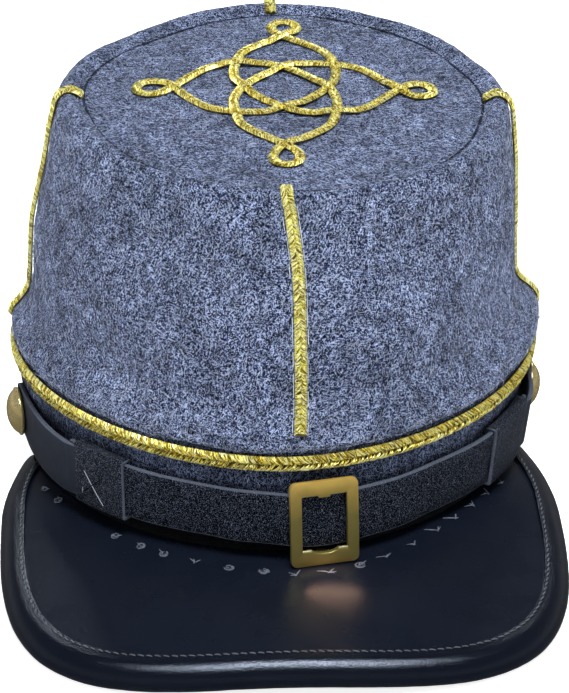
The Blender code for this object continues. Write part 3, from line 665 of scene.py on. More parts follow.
def turn_from(angle, degrees):
    """Turn from one angle to another, from -180 to 180 degrees."""
    return (degrees - angle + 180.0) % 360.0 - 180.0


def dent_depth(degrees, height):
    depth = 0.0
    for dent in DENTS:
        turn = turn_from(dent.angle, degrees)
        rise = height - dent.height
        depth += dent.depth * math.exp(-(turn / dent.spread) ** 2 - (rise / dent.tall) ** 2)
    return depth


# Narrow folds in the felt where the front of the crown meets the band
Fold = namedtuple("Fold", "angle height depth spread tall slant")
FOLDS = tuple(Fold(*row) for row in (
    (-92, 37.0, 0.9, 46, 0.55, 0.012),
    (-78, 38.9, 0.6, 30, 0.6, -0.02),
    (-128, 39.6, 0.5, 22, 0.8, 0.03),
    (-40, 37.6, 0.6, 26, 0.6, 0.0),
))


def fold_depth(degrees, height):
    depth = 0.0
    for fold in FOLDS:
        turn = turn_from(fold.angle, degrees)
        rise = height - (fold.height + fold.slant * turn + 0.25 * math.sin(turn * 0.3))
        depth += fold.depth * math.exp(-(turn / fold.spread) ** 2 - (rise / fold.tall) ** 2)
    return depth


def crown_point(row, degrees, inset=0.0, rise=0.0):
    """Point of the crown's wall on a row, moved inwards by inset and up by rise."""
    inset += dent_depth(degrees, row.height) + fold_depth(degrees, row.height)
    x, y = oval(row.half - inset, row.length - inset, row.squareness, degrees)
    x += row.shift
    y += row.centre
    side = TOP_SIDE_SLOPE * row.lean / CROWN_ROWS[-1].lean
    return Vector((x, y, row.height + rise + row.lean * y + side * x))


def from_front(degrees, at_front):
    """Share that is at_front at the front of the cap and grows to 1 towards the sides and the back."""
    return at_front + (1.0 - at_front) * smoothstep((math.sin(math.radians(degrees)) + 1.0) / 0.8)


def rim_point(rim, degrees, below=0.0):
    ridge = rim.ridge * from_front(degrees, RIDGE_AT_FRONT)
    width = from_front(degrees, RIM_WIDTH_AT_FRONT)
    return crown_point(CROWN_ROWS[-1], degrees, rim.inset * width, rim.rise + ridge - below)


RIM_CURVE = (RimRow(0.0, 0.0, 0.0),) + RIM_ROWS


def make_crown_wall():
    angles = around(CROWN_STEPS_ROUND)
    top = CROWN_ROWS[-1]
    wall_places = [i / WALL_STEPS for i in range(WALL_STEPS * (len(CROWN_ROWS) - 1) + 1)]
    rim_places = [i / RIM_STEPS for i in range(1, RIM_STEPS * (len(RIM_CURVE) - 1) + 1)]
    rings = [[crown_point(smooth_row(CROWN_ROWS, p), a) for a in angles] for p in wall_places]
    rings += [[rim_point(smooth_row(RIM_CURVE, p), a) for a in angles] for p in rim_places]
    rings.append([rim_point(RIM_ROWS[-1], a, CROWN_WALL) for a in angles])
    turns = [(a, INNER_TURN * from_front(a, INNER_TURN_AT_FRONT)) for a in angles]
    rings.append([crown_point(top, a, turn, INNER_TURN_RISE) for a, turn in turns])
    inner = [smooth_row(CROWN_ROWS, p) for p in reversed(wall_places[:-WALL_STEPS:3])]
    rings += [[crown_point(row, a, CROWN_WALL) for a in angles] for row in inner]
    loft("crown_felt", rings, WOOL, ["crown_side"], loop=True, lumps=((0.5, 16.0), (0.16, 3.2)))


def top_centre():
    row = CROWN_ROWS[-1]
    return Vector((row.shift, row.centre))


def top_edge(degrees, gap):
    """Edge of the crown's top in plan, this far inside the rim."""
    crease = rim_point(RIM_ROWS[-1], degrees).xy
    inward = top_centre() - crease
    return crease + inward.normalized() * gap


def top_height(x, y):
    """Height of the crown's top, which slopes with the rim and is domed a little."""
    row = CROWN_ROWS[-1]
    rise = RIM_ROWS[-1].rise
    away = Vector((x, y)) - top_centre()
    share = min(away.length / (row.length - RIM_ROWS[-1].inset), 1.0)
    dome = TOP_DOME * (1.0 - share * share)
    return row.height + rise - TOP_RECESS + row.lean * y + TOP_SIDE_SLOPE * x + dome


def make_crown_top():
    edges = [top_edge(a, -TOP_OVERLAP) for a in around(STEPS_ROUND)]

    def ring(share, below):
        places = [top_centre().lerp(edge, share) for edge in edges]
        return [(p.x, p.y, top_height(p.x, p.y) - below) for p in places]

    rings = [ring(0.02 + 0.98 * i / 22, 0.0) for i in range(22)]
    rings += [ring(0.985, 0.02), ring(1.0, 0.35)]
    rings += [ring(share, TOP_THICK) for share in (1.0, 0.5, 0.02)]
    loft("top_felt", rings, WOOL, ["crown_top"], lumps=((0.5, 18.0), (0.14, 3.0)))


def make_crease_shade():
    """Dark tube of painted shade in the crease where the top meets the turned rim."""
    rings = []
    for degrees in around(STEPS_ROUND):
        edge = top_edge(degrees, CREASE_INSET)
        inward = (top_centre() - edge).normalized()
        centre = Vector((edge.x, edge.y, top_height(edge.x, edge.y)))
        ring = []
        for i in range(8):
            turn = 2 * math.pi * i / 8
            side = inward * CREASE_HALF_WIDTH * math.cos(turn)
            ring.append(centre + Vector((side.x, side.y, CREASE_HALF_HEIGHT * math.sin(turn))))
        rings.append(ring)
    loft("painted_crease_shade", rings, CREASE_SHADE_WOOL, [], loop=True)


# Loose fibres of the felt

def make_fibres(fibres, draw):
    """Curved hairs that lie on the felt and rise from it here and there."""
    steps = 4
    spots = [spot for spots_of, count in fibres.spots for spot in spots_of(draw, count)]
    paths, outs, looks, widths = [], [], [], []
    for point, normal in spots:
        along = Vector([draw.gauss(0, 1) for _ in range(3)])
        along = (along - normal * along.dot(normal)).normalized()
        bend = normal.cross(along) * draw.uniform(-0.5, 0.5)
        length = draw.uniform(*fibres.lengths)
        rise = draw.uniform(0.0, fibres.lift) ** 1.5
        standing = draw.random() < 0.25
        path = []
        for i in range(steps):
            t = i / (steps - 1)
            height = rise * (t * t if standing else math.sin(math.pi * t)) + 0.02
            path.append(point + (along * t + bend * t * t) * length + normal * height)
        paths.append(path)
        outs.append([normal] * steps)
        looks.append(draw.choices((0, 1, 2), fibres.shares)[0])
        widths.append(fibres.radius * draw.uniform(0.6, 1.3))
    taper = np.array(widths)[:, None] * np.array([0.4, 1.0, 1.0, 0.3])[None]
    thread_piece(fibres.name, FIBRE_LOOKS, paths, outs, taper, taper, 3, looks)


def wall_spots(draw, count):
    spots = []
    for _ in range(count):
        place = draw.uniform(0.3, len(CROWN_ROWS) - 1.0)
        degrees = draw.uniform(0.0, 360.0)
        row = smooth_row(CROWN_ROWS, place)
        point = crown_point(row, degrees)
        beside = crown_point(row, degrees + 1.0) - point
        step = 0.05 if place < len(CROWN_ROWS) - 1.1 else -0.05
        above = crown_point(smooth_row(CROWN_ROWS, place + step), degrees) - point
        above *= math.copysign(1.0, step)
        spots.append((point, beside.cross(above).normalized()))
    return spots


def top_spots(draw, count):
    spots = []
    slope = Vector((-TOP_SIDE_SLOPE, -CROWN_ROWS[-1].lean, 1.0)).normalized()
    for _ in range(count):
        edge = top_edge(draw.uniform(0.0, 360.0), 1.0)
        place = top_centre().lerp(edge, math.sqrt(draw.random()))
        spots.append((Vector((place.x, place.y, top_height(place.x, place.y))), slope))
    return spots


def rim_spots(draw, count):
    spots = []
    for _ in range(count):
        degrees = draw.uniform(0.0, 360.0)
        rim = smooth_row(RIM_CURVE, draw.uniform(0.2, 5.5))
        point = rim_point(rim, degrees)
        out = Vector((point.x, point.y + 15.0, 0.0)).normalized()
        spots.append((point, (out * 0.6 + Vector((0, 0, 1))).normalized()))
    return spots


def band_spots(draw, count):
    spots = []
    for _ in range(count):
        degrees = draw.uniform(0.0, 360.0)
        height = draw.uniform(7.0, 27.0)
        spots.append((band_face(degrees, height), band_frame(degrees, height)[2]))
    return spots


# Fibres of each part of the felt. Spots say where and how many, and shares are of light, middle and dark
Fibres = namedtuple("Fibres", "name spots lengths lift radius shares")
FIBRES = (
    Fibres("crown_fibres", ((wall_spots, 9900),), (0.9, 3.4), 0.7, 0.055, (0.44, 0.20, 0.36)),
    Fibres("top_fibres", ((top_spots, 4200),), (0.9, 3.4), 0.6, 0.055, (0.44, 0.20, 0.36)),
    Fibres("rim_fibres", ((rim_spots, 1000),), (0.9, 3.0), 0.6, 0.055, (0.44, 0.20, 0.36)),
    Fibres("band_fibres", ((band_spots, 1500),), (0.9, 3.4), 0.4, 0.050, (0.30, 0.30, 0.40)),
    Fibres("stray_fibres", ((wall_spots, 260), (top_spots, 90)), (4.0, 9.0), 1.6, 0.050, (0.8, 0.2, 0.0)),
)


# Braids

# Braid's section: two round cords side by side
CORD_PAIR = (
    (-0.47, 0.0), (-0.5, 0.25), (-0.42, 0.66), (-0.27, 0.82), (-0.1, 0.7), (0.0, 0.56),
    (0.1, 0.7), (0.27, 0.82), (0.42, 0.66), (0.5, 0.25), (0.47, 0.0),
)


class Track:
    """A braid's path: places on what it lies on, with the directions across it and out."""

    def __init__(self, places, across, outs, closed):
        if closed:
            places, across, outs = (list(rows) + [rows[0]] for rows in (places, across, outs))
        self.places = np.array([p[:] for p in places], float)
        self.across = np.array([p[:] for p in across], float)
        self.outs = np.array([p[:] for p in outs], float)
        lengths = np.linalg.norm(np.diff(self.places, axis=0), axis=1)
        self.steps = np.concatenate(([0.0], np.cumsum(lengths)))
        self.length = self.steps[-1]
        self.closed = closed

    def at(self, distances):
        """Places, directions across and directions out at distances along the path."""
        distances = np.asarray(distances, float)
        distances = distances % self.length if self.closed else np.clip(distances, 0.0, self.length)
        found = []
        for rows in (self.places, self.across, self.outs):
            found.append(np.stack([np.interp(distances, self.steps, rows[:, i]) for i in range(3)], -1))
        return found


def braid_piece(node, track, width, thick, spacing, draw, gold=GOLD):
    """Flat braid: a pair of cords with metal threads wound over them, slanting both ways to the middle."""
    body_steps = max(int(track.length / 1.6), 8)
    places = np.linspace(0.0, track.length, body_steps, endpoint=not track.closed)
    base, across, out = track.at(places)
    cords = [(u * width * 0.95, GAP + w * thick * 0.92) for u, w in CORD_PAIR]
    rings = [[base[i] + across[i] * u + out[i] * w for u, w in cords] for i in range(body_steps)]
    core_points, core_faces = skin(rings, loop=track.closed)

    count = int(track.length / spacing)
    taper = np.array([0.8, 1.0, 1.0, 0.7])
    shares = np.linspace(0.0, 1.0, len(taper))
    swing = math.pi * (0.06 + 0.80 * shares)
    arc = np.sin(swing)
    paths, outs, wides = [], [], []
    for side in (-1, 1):
        for i in range(count):
            start = (i + 0.5 * (side > 0) + draw.uniform(-0.3, 0.3)) * track.length / count
            lift = draw.uniform(-0.10, 0.14)
            distances = start + draw.uniform(0.12, 0.85) * width * shares
            if not track.closed and distances[-1] > track.length:
                distances = distances - (distances[-1] - track.length)
            base, across, out = track.at(distances)
            reach = side * width * (0.5 - 0.49 * shares) * (1.0 + draw.uniform(-0.03, 0.05))
            height = GAP + thick * (0.10 + (0.84 + lift) * arc)
            paths.append(base + across * reach[:, None] + out * height[:, None])
            lean = side * np.cos(swing)
            outs.append(out * np.maximum(arc, 0.2)[:, None] + across * lean[:, None] * 0.9)
            wides.append(spacing * draw.uniform(0.36, 0.70) * taper)
    points, faces = tubes(paths, outs, np.array(wides), 0.17 * thick, 5)
    points, faces, looks = join((core_points, core_faces, 1), (points, faces, 0))
    piece(node + "_gold", points, faces, [gold, GOLD_CORE_SHADE], [node], looks=looks)


def make_band_braid(draw):
    places, across, outs = [], [], []
    for a in around(STEPS_ROUND):
        _, up, out = band_frame(a, BRAID_LEVEL)
        places.append(band_point(a, BRAID_LEVEL))
        across.append(up)
        outs.append(out)
    track = Track(places, across, outs, True)
    braid_piece("band_braid", track, BAND_BRAID_WIDTH, BAND_BRAID_THICK, BAND_THREADS, draw)


# Braids up the crown: the row at the foot, and the angles at foot and top. The front braid wanders a
# little, so it has an angle for each row of the crown from its foot up, and over the rim
QuarterBraid = namedtuple("QuarterBraid", "name foot_row angles")
FRONT_BRAID = QuarterBraid("braid_front", 2, (
    -87.15, -86.9, -86.65, -86.7, -87.0, -87.85, -89.0, -90.2,
    -91.4, -91.6, -91.8, -91.9, -91.9, -91.9, -91.9,
))
QUARTER_BRAIDS = (
    FRONT_BRAID,
    QuarterBraid("braid_back", 1, (90.0, 91.0)),
    QuarterBraid("braid_right", 1, (5.0, -2.5)),
    QuarterBraid("braid_left", 1, (175.0, 182.5)),
)


def quarter_angle(braid, index):
    """Angle of a braid at a place counted in rows from its foot."""
    angles = braid.angles
    if len(angles) > 2:
        return float(np.interp(index, range(len(angles)), angles))
    share = smoothstep(index / (len(CROWN_ROWS) - braid.foot_row))
    return angles[0] + (angles[1] - angles[0]) * share


def make_quarter_braid(braid, draw):
    rows_up = len(CROWN_ROWS) - 1
    wall = [(crown_point, CROWN_ROWS, i / WALL_STEPS, -braid.foot_row)
            for i in range(WALL_STEPS * braid.foot_row, WALL_STEPS * rows_up + 1)]
    rim = [(rim_point, RIM_CURVE, i / RIM_STEPS, rows_up - braid.foot_row)
           for i in range(1, RIM_STEPS * (len(RIM_CURVE) - 1) + 1)]
    points, sideways = [], []
    for point_of, rows, place, rows_before in wall + rim:
        degrees = quarter_angle(braid, place + rows_before)
        row = smooth_row(rows, place)
        points.append(point_of(row, degrees))
        sideways.append((point_of(row, degrees + 1) - point_of(row, degrees - 1)).normalized())
    across, outs = [], []
    for i, side in enumerate(sideways):
        tangent = (points[min(i + 1, len(points) - 1)] - points[max(i - 1, 0)]).normalized()
        out = side.cross(tangent).normalized()
        outs.append(out)
        across.append(tangent.cross(out))
    track = Track(points, across, outs, False)
    braid_piece(braid.name, track, CROWN_BRAID_WIDTH, CROWN_BRAID_THICK, CROWN_THREADS, draw, PAINTED_LIGHT_GOLD)


def knot_controls():
    """The knot's endless line as points to go through, in shares of its half sizes."""
    strand = [(-1.0, 0.0)] + list(STRAND) + [(y, x) for x, y in reversed(STRAND[:-1])] + [(0.0, -1.0)]
    strand += [(across, -out) for across, out in TIP_LOOP]
    points = []
    for _ in range(4):
        points += strand
        strand = [(-y, x) for x, y in strand]
    return points


def closed_curve(points, steps):
    """Smooth closed curve through points, with this many steps from one to the next."""
    curve = []
    count = len(points)
    for i in range(count):
        four = [Vector(points[(i + k) % count]) for k in (-1, 0, 1, 2)]
        for k in range(steps):
            t = k / steps
            curve.append(smooth_curve(*four, t))
    return curve


def even_steps(curve, spacing):
    """A closed curve again, with points an even distance apart."""
    closed = curve + [curve[0]]
    lengths = [0.0]
    for a, b in zip(closed, closed[1:]):
        lengths.append(lengths[-1] + (b - a).length)
    count = round(lengths[-1] / spacing)
    points = []
    k = 0
    for i in range(count):
        goal = lengths[-1] * i / count
        while lengths[k + 1] < goal:
            k += 1
        share = (goal - lengths[k]) / (lengths[k + 1] - lengths[k])
        points.append(closed[k].lerp(closed[k + 1], share))
    return points


def soften(curve, reach):
    """Closed curve with its corners rounded by a running mean."""
    count = len(curve)
    softer = []
    for i in range(count):
        total, weight = Vector((0.0, 0.0)), 0.0
        for k in range(-reach, reach + 1):
            share = reach + 1 - abs(k)
            total += curve[(i + k) % count] * share
            weight += share
        softer.append(total / weight)
    return softer


def crossings(curve):
    """Places along the closed curve, in points, where it crosses itself."""
    count = len(curve)
    found = []
    for i in range(count):
        a, b = curve[i], curve[(i + 1) % count]
        for k in range(i + 2, count):
            if i == 0 and k == count - 1:
                continue
            c, d = curve[k], curve[(k + 1) % count]
            ab, cd, ac = b - a, d - c, c - a
            turn = ab.x * cd.y - ab.y * cd.x
            if abs(turn) < 1e-12:
                continue
            s = (ac.x * cd.y - ac.y * cd.x) / turn
            t = (ac.x * ab.y - ac.y * ab.x) / turn
            if 0 <= s < 1 and 0 <= t < 1:
                found += [i + s, k + t]
    return sorted(found)


def make_knot(draw):
    centre_x, centre_y = KNOT_CENTRE
    outline = []
    for x, y in knot_controls():
        along = KNOT_HALF_LENGTH * y
        outline.append((centre_x + KNOT_HALF_WIDTH * x - KNOT_SKEW * along, centre_y + along))
    curve = soften(even_steps(closed_curve(outline, 12), KNOT_STEP), KNOT_SOFTEN)
    over = crossings(curve)[::2]
    count = len(curve)
    places, sideways = [], []
    for i, point in enumerate(curve):
        tangent = (curve[(i + 1) % count] - curve[i - 1]).normalized()
        nearest = min(abs((i - place + count / 2) % count - count / 2) for place in over) * KNOT_STEP
        raised = KNOT_LIFT * smoothstep((KNOT_RAMP - nearest) / (KNOT_RAMP - KNOT_FLAT))
        places.append(Vector((point.x, point.y, top_height(point.x, point.y) + raised)))
        sideways.append(Vector((tangent.y, -tangent.x, 0.0)))
    track = Track(places, sideways, [Vector((0, 0, 1))] * count, True)
    braid_piece("knot_braid", track, KNOT_BRAID_WIDTH, KNOT_BRAID_THICK, KNOT_THREADS, draw)


def make_braid_seams(draw):
    """Fine light threads on the felt along both edges of the front braid."""
    steps = 6
    paths, outs = [], []
    for side in (-1, 1):
        start = 2.3
        while start < 9.4:
            length = draw.uniform(0.35, 0.9)
            path, normals = [], []
            shift = side * (CROWN_BRAID_WIDTH * 0.5 + draw.uniform(0.35, 0.75))
            for i in range(steps):
                place = min(start + length * i / 5, 9.9)
                row = smooth_row(CROWN_ROWS, place)
                degrees = quarter_angle(FRONT_BRAID, place - FRONT_BRAID.foot_row)
                point = crown_point(row, degrees)
                sideways = (crown_point(row, degrees + 1) - crown_point(row, degrees - 1)).normalized()
                upward = crown_point(smooth_row(CROWN_ROWS, place + 0.1), degrees) - point
                out = sideways.cross(upward).normalized()
                path.append(point + sideways * shift + out * (0.16 + 0.05 * math.sin(i * 1.3)))
                normals.append(out)
            paths.append(path)
            outs.append(normals)
            start += length + draw.uniform(0.0, 0.25)
    thick = np.full((len(paths), steps), 0.10)
    thread_piece("braid_seam_threads", [SEAM_THREAD], paths, outs, thick, thick, 4)


# Visor

def base_oval(degrees):
    return band_face(degrees, 0.0).xy


def foot_on_band(point):
    """Angle on the band's lower edge that lies nearest to a point in plan, and the distance outside it."""
    best = min(range(-200, 21, 4), key=lambda a: (base_oval(a) - point).length)
    step = 4.0
    while step > 0.01:
        step *= 0.5
        best = min((best - step, best, best + step), key=lambda a: (base_oval(a) - point).length)
    away = point - base_oval(best)
    outside = away.dot(base_oval(best)) > 0
    return best, away.length if outside else -away.length


def visor_height(point):
    """Height of the visor's upper face at a point in plan."""
    degrees, distance = foot_on_band(point)
    forward = -base_oval(degrees).y
    seam = -GAP - VISOR_ROOT_DROP * (1.0 - smoothstep((forward + VISOR_ROOT) / VISOR_ROOT_EASE))
    return seam - math.tan(VISOR_SLOPE) * max(distance, 0.0)


def visor_outline():
    """Outer edge of the visor in plan, right root to left root, with its outward direction."""
    roots = 20
    right = []
    for i in range(roots):
        y = VISOR_ROOT + (VISOR_MIDDLE - VISOR_ROOT) * i / roots
        taper = ((y - VISOR_MIDDLE) / (VISOR_ROOT - VISOR_MIDDLE)) ** 2
        right.append((VISOR_HALF - VISOR_ROOT_TAPER * taper, y))
    power = 2.0 / VISOR_SQUARENESS
    degrees = 0.0
    while degrees < 89.0:
        turn = math.radians(degrees)
        x = VISOR_HALF * math.cos(turn) ** power
        right.append((x, VISOR_MIDDLE - VISOR_REACH * math.sin(turn) ** power))
        degrees += 0.35 if degrees < 4.0 or degrees > 86.0 else 2.0
    points = right + [(0.0, VISOR_MIDDLE - VISOR_REACH)] + [(-x, y) for x, y in reversed(right)]
    points = even_outline([Vector((x + VISOR_SHIFT, y)) for x, y in points], 1.5)
    outline = []
    for before, point, after in zip(points[:1] + points, points, points[1:] + points[-1:]):
        along = (after - before).normalized()
        outline.append((point, Vector((-along.y, along.x))))
    return outline


def even_outline(points, spacing):
    """An open line again, with points an even distance apart."""
    lengths = np.concatenate(([0.0], np.cumsum([(b - a).length for a, b in zip(points, points[1:])])))
    goals = np.linspace(0.0, lengths[-1], int(lengths[-1] / spacing) + 1)
    xs = np.interp(goals, lengths, [p.x for p in points])
    ys = np.interp(goals, lengths, [p.y for p in points])
    return [Vector((x, y)) for x, y in zip(xs, ys)]


VISOR_LINE = visor_outline()


def make_visor():
    """Plate from the band's foot, or from under the band at the roots, out to the roll."""
    shares = [i / 14 for i in range(15)]
    rings = []
    for point, outward in VISOR_LINE[1:-1]:
        edge = point - outward * PLATE_INSET
        degrees, distance = foot_on_band(edge)
        foot = base_oval(degrees)
        inward = (foot - edge).normalized() if distance > 0 else -(foot - edge).normalized()
        start = foot + inward * BAND_WALL
        if distance > 0:
            places = [start] + [foot.lerp(edge, share) for share in shares]
        else:
            places = [start] + [start.lerp(edge, 0.3 + 0.7 * share) for share in shares]
        upper = [Vector((p.x, p.y, visor_height(p))) for p in places]
        lower = [p - Vector((0, 0, VISOR_THICK)) for p in reversed(upper)]
        rings.append(upper + lower)
    loft("visor_plate", rings, VISOR_LEATHER, ["visor"], lumps=((0.22, 30.0),))


def roll_section():
    """Rolled edge: outwards from the visor's outline, and up from the visor's upper face."""
    lip = GAP + ROLL_LIP_THICK
    points = [(-ROLL_LIP, GAP), (-ROLL_LIP, GAP + 0.35)]
    points += [(-ROLL_LIP + 0.2, lip - 0.05), (-ROLL_LIP + 0.6, lip)]
    for i in range(24):
        turn = math.radians(100 - 230 * i / 23)
        across = -ROLL_CENTRE + ROLL_HALF_WIDTH * math.cos(turn)
        points.append((across, -ROLL_DROP + ROLL_HALF_HEIGHT * math.sin(turn)))
    under = -VISOR_THICK - GAP
    slot = -PLATE_INSET + GAP
    points += [(-ROLL_LIP, under - ROLL_UNDER_THICK), (-ROLL_LIP, under), (slot, under), (slot, GAP)]
    return points


def roll_place(point, outward, across, rise):
    """Place at a distance outwards from the visor's outline, and up from the visor's upper face."""
    plan = point + outward * across
    inner = point + outward * min(across, -ROLL_CENTRE)
    beyond = max(across + ROLL_CENTRE, 0.0)
    level = visor_height(inner) - math.tan(VISOR_SLOPE) * beyond
    return Vector((plan.x, plan.y, level + rise))


# Stitches along the rolled edge: how far in they lie and how they look
STITCH_INSET = 6.35
STITCH_PITCH = 2.45
STITCH_LENGTH = 1.95
STITCH_RADIUS = 0.27


def make_visor_binding():
    """Rolled edge all along the visor's outline."""
    section = roll_section()
    rings = []
    for point, outward in VISOR_LINE:
        rings.append([roll_place(point, outward, across, rise) for across, rise in section])
    loft("visor_roll", rings, ROLL_LEATHER, ["visor_binding"],
         lumps=((0.12, 12.0), (0.05, 2.4)))


def make_visor_stitches():
    """Slanting stitches along the roll's inner edge."""
    rise = GAP + ROLL_LIP_THICK
    line = [roll_place(point, outward, -STITCH_INSET, rise) for point, outward in VISOR_LINE]
    sides = [Vector((outward.x, outward.y, 0.0)) for _, outward in VISOR_LINE]
    track = Track(line, sides, [Vector((0, 0, 1))] * len(line), False)
    shares = np.linspace(-0.5, 0.5, 7)
    paths, outs = [], []
    for i in range(int((track.length - 6.0) / STITCH_PITCH)):
        base, across, out = track.at(3.0 + i * STITCH_PITCH + shares * STITCH_LENGTH)
        height = 0.16 * np.cos(shares * math.pi) - 0.05
        paths.append(base + across * (shares * -0.55)[:, None] + out * height[:, None])
        outs.append(out)
    taper = STITCH_RADIUS * np.array([0.45, 0.85, 1.0, 1.0, 1.0, 0.85, 0.45])
    wide, thick = taper[None], taper[None] * 0.8
    thread_piece("visor_stitches", [VISOR_THREAD], paths, outs, wide, thick, 8)


# Thread that shows where the visor is sewn to the band: angle, distance from the band, and kind
VISOR_HOLES = (
    (-152.0, 3.5, "knot"), (-146.0, 3.5, "knot"), (-127.0, 5.0, "knot"), (-120.5, 5.5, "knot"),
    (-115.0, 6.0, "knot"), (-108.0, 7.0, "tick"), (-101.0, 7.5, "knot"), (-94.0, 8.0, "knot"),
    (-87.5, 10.0, "tick"), (-81.0, 10.0, "tick"), (-74.5, 9.0, "knot"), (-68.5, 8.0, "tick"),
    (-61.5, 6.5, "tick"), (-54.5, 5.0, "tick"), (-48.5, 4.0, "tick"), (-42.0, 3.5, "tick"),
    (-36.0, 3.5, "tick"), (-30.0, 4.0, "tick"),
)
THREAD_STEPS = 6


def make_visor_holes(draw):
    """Grey thread on the plate: loops on a rim with a dark eye (painted shade of the hole), or ticks, each
    with two loose ends.
    """
    paths, rims, eyes = [], [], []
    for degrees, distance, kind in VISOR_HOLES:
        base = base_oval(degrees)
        along = (base_oval(degrees + 0.5) - base_oval(degrees - 0.5)).normalized()
        outward = Vector((along.y, -along.x))
        centre = base + outward * distance

        def thread(place_of):
            """Thread whose steps lie along the band, outwards from it and up, as place_of says."""
            spots = []
            for i in range(THREAD_STEPS):
                u, v, rise = place_of(i)
                place = centre + along * (u * 1.35) + outward * (v * 1.5)
                spots.append(Vector((place.x, place.y, visor_height(place) + rise)))
            return spots

        if kind == "knot":
            for _ in range(3):
                width, depth = draw.uniform(0.7, 1.2), draw.uniform(0.5, 0.9)
                start = draw.uniform(0.0, 360.0)
                sweep = draw.uniform(150.0, 260.0)
                turns = [math.radians(start + sweep * i / 5) for i in range(THREAD_STEPS)]
                paths.append(thread(lambda i: (width * math.cos(turns[i]), depth * math.sin(turns[i]),
                                               0.12 + 0.06 * (i % 2))))
            paths.append(thread(lambda i: (-0.5 + 0.2 * i, 0.1 * (i % 2), 0.2)))
            rims.append(thread(lambda i: (-0.85 + 0.34 * i, 0.0, 0.05)))
            off_u, off_v = draw.uniform(-0.35, 0.35), draw.uniform(-0.25, 0.25)
            # The eye is near-black thread: painted shade in the hole
            eyes.append(thread(lambda i: (off_u - 0.25 + 0.10 * i, off_v, 0.26)))
        else:
            for side, reach in ((-1, draw.uniform(1.5, 2.6)), (1, draw.uniform(0.8, 1.7))):
                tilt = draw.uniform(-0.7, 0.5)
                paths.append(thread(lambda i: (side * reach * i / 5, -0.9 * i / 5 + tilt * i / 5,
                                               0.10 + 0.10 * math.sin(i * 0.6))))
            paths.append(thread(lambda i: (-0.4 + 0.16 * i, 0.25 * math.sin(i), 0.14)))
        for _ in range(2):
            aim_u, aim_v = draw.uniform(-1.7, 1.7), draw.uniform(-0.8, 0.8)
            paths.append(thread(lambda i: (aim_u * i / 5, aim_v * i / 5, 0.08 + 0.35 * i / 5)))
    weights = np.array([draw.uniform(0.6, 1.15) for _ in paths])
    wide = weights[:, None] * np.array([0.14, 0.21, 0.24, 0.21, 0.17, 0.08])[None]
    lens = np.array([0.25, 0.75, 0.95, 0.95, 0.75, 0.25])[None]
    thick = np.concatenate([wide * 0.8] + [lens * 0.16] * (len(rims) + len(eyes)))
    wide = np.concatenate([wide] + [lens * 1.1] * len(rims) + [lens * 0.46] * len(eyes))
    looks = [0] * len(paths) + [1] * len(rims) + [2] * len(eyes)
    paths += rims + eyes
    outs = [[Vector((0, 0, 1))] * THREAD_STEPS] * len(paths)
    finishes = [HOLE_THREAD, HOLE_RIM, DARK_THREAD_AND_HOLE_SHADE]
    thread_piece("visor_hole_threads", finishes, paths, outs, wide, thick, 6, looks)


# Cross sewn on the left sleeve: ends of each thread as angle on the band and height on the strap, its look
# (0 is white, 1 is dark) and its radius
SLEEVE_CROSS = (
    ((-135.6, 1.7), (-130.6, -7.2), 0, 0.11),
    ((-136.2, -5.6), (-130.8, 1.6), 1, 0.18),
    ((-136.3, -5.9), (-136.2, -4.1), 0, 0.11),
)


def make_sleeve_cross():
    """Threads over the left sleeve, as far out as its outer face."""
    steps = 10
    paths, outs = [], []
    for (first, low), (last, high), _, _ in SLEEVE_CROSS:
        path, normals = [], []
        for i in range(steps):
            share = i / (steps - 1)
            middle, _, up, out = strap_axes(MIDDLE_STRAP, first + (last - first) * share)
            rise = STRAP_THICK + GAP + LOOP_WALL + 0.08 + 0.05 * math.sin(share * 3.1)
            path.append(middle + up * (low + (high - low) * share) + out * rise)
            normals.append(out)
        paths.append(path)
        outs.append(normals)
    thick = np.array([[radius] * steps for _, _, _, radius in SLEEVE_CROSS])
    finishes = [WHITE_THREAD, DARK_THREAD_AND_HOLE_SHADE]
    looks = [look for _, _, look, _ in SLEEVE_CROSS]
    thread_piece("sleeve_cross", finishes, paths, outs, thick, thick, 6, looks)


# Chin strap

def strap_place(table, degrees):
    """Row of a strap's table at an angle, eased between its rows."""
    rows = sorted(table, key=lambda row: row.angle)
    degrees = min(max(degrees, rows[0].angle), rows[-1].angle)
    for low, high in zip(rows, rows[1:]):
        if degrees <= high.angle:
            share = smoothstep((degrees - low.angle) / (high.angle - low.angle))
            return StrapPoint(*(a + (b - a) * share for a, b in zip(low, high)))
    return rows[-1]


def strap_axes(table, degrees):
    """Middle of a strap's inner face, with the directions along it, up it and out of it."""
    row = strap_place(table, degrees)
    along, up, out = band_frame(degrees, row.height)
    lean = Matrix.Rotation(-math.radians(row.tilt), 3, along)
    return band_point(degrees, row.height, row.offset), along, lean @ up, lean @ out


def strap_section(width, thick):
    """Section of a cut strap with eased corners, from its lower inner corner round by the outer face."""
    bevel = 0.32
    half = width / 2
    side = [(half, 0.15), (half, thick - bevel)]
    side += [(half - bevel * 0.3, thick - bevel * 0.3), (half - bevel, thick)]
    lower = [(-u, w) for u, w in side]
    outer = [(-half * 0.5, thick), (0.0, thick), (half * 0.5, thick)]
    return [(-half + 0.1, 0.0)] + lower + outer + side[::-1] + [(half - 0.1, 0.0), (0.0, 0.0)]


# Faces of the strap's section that show the cut edge of the leather
CUT_FACES = (0, 1, 2, 3, 8, 9, 10, 11)


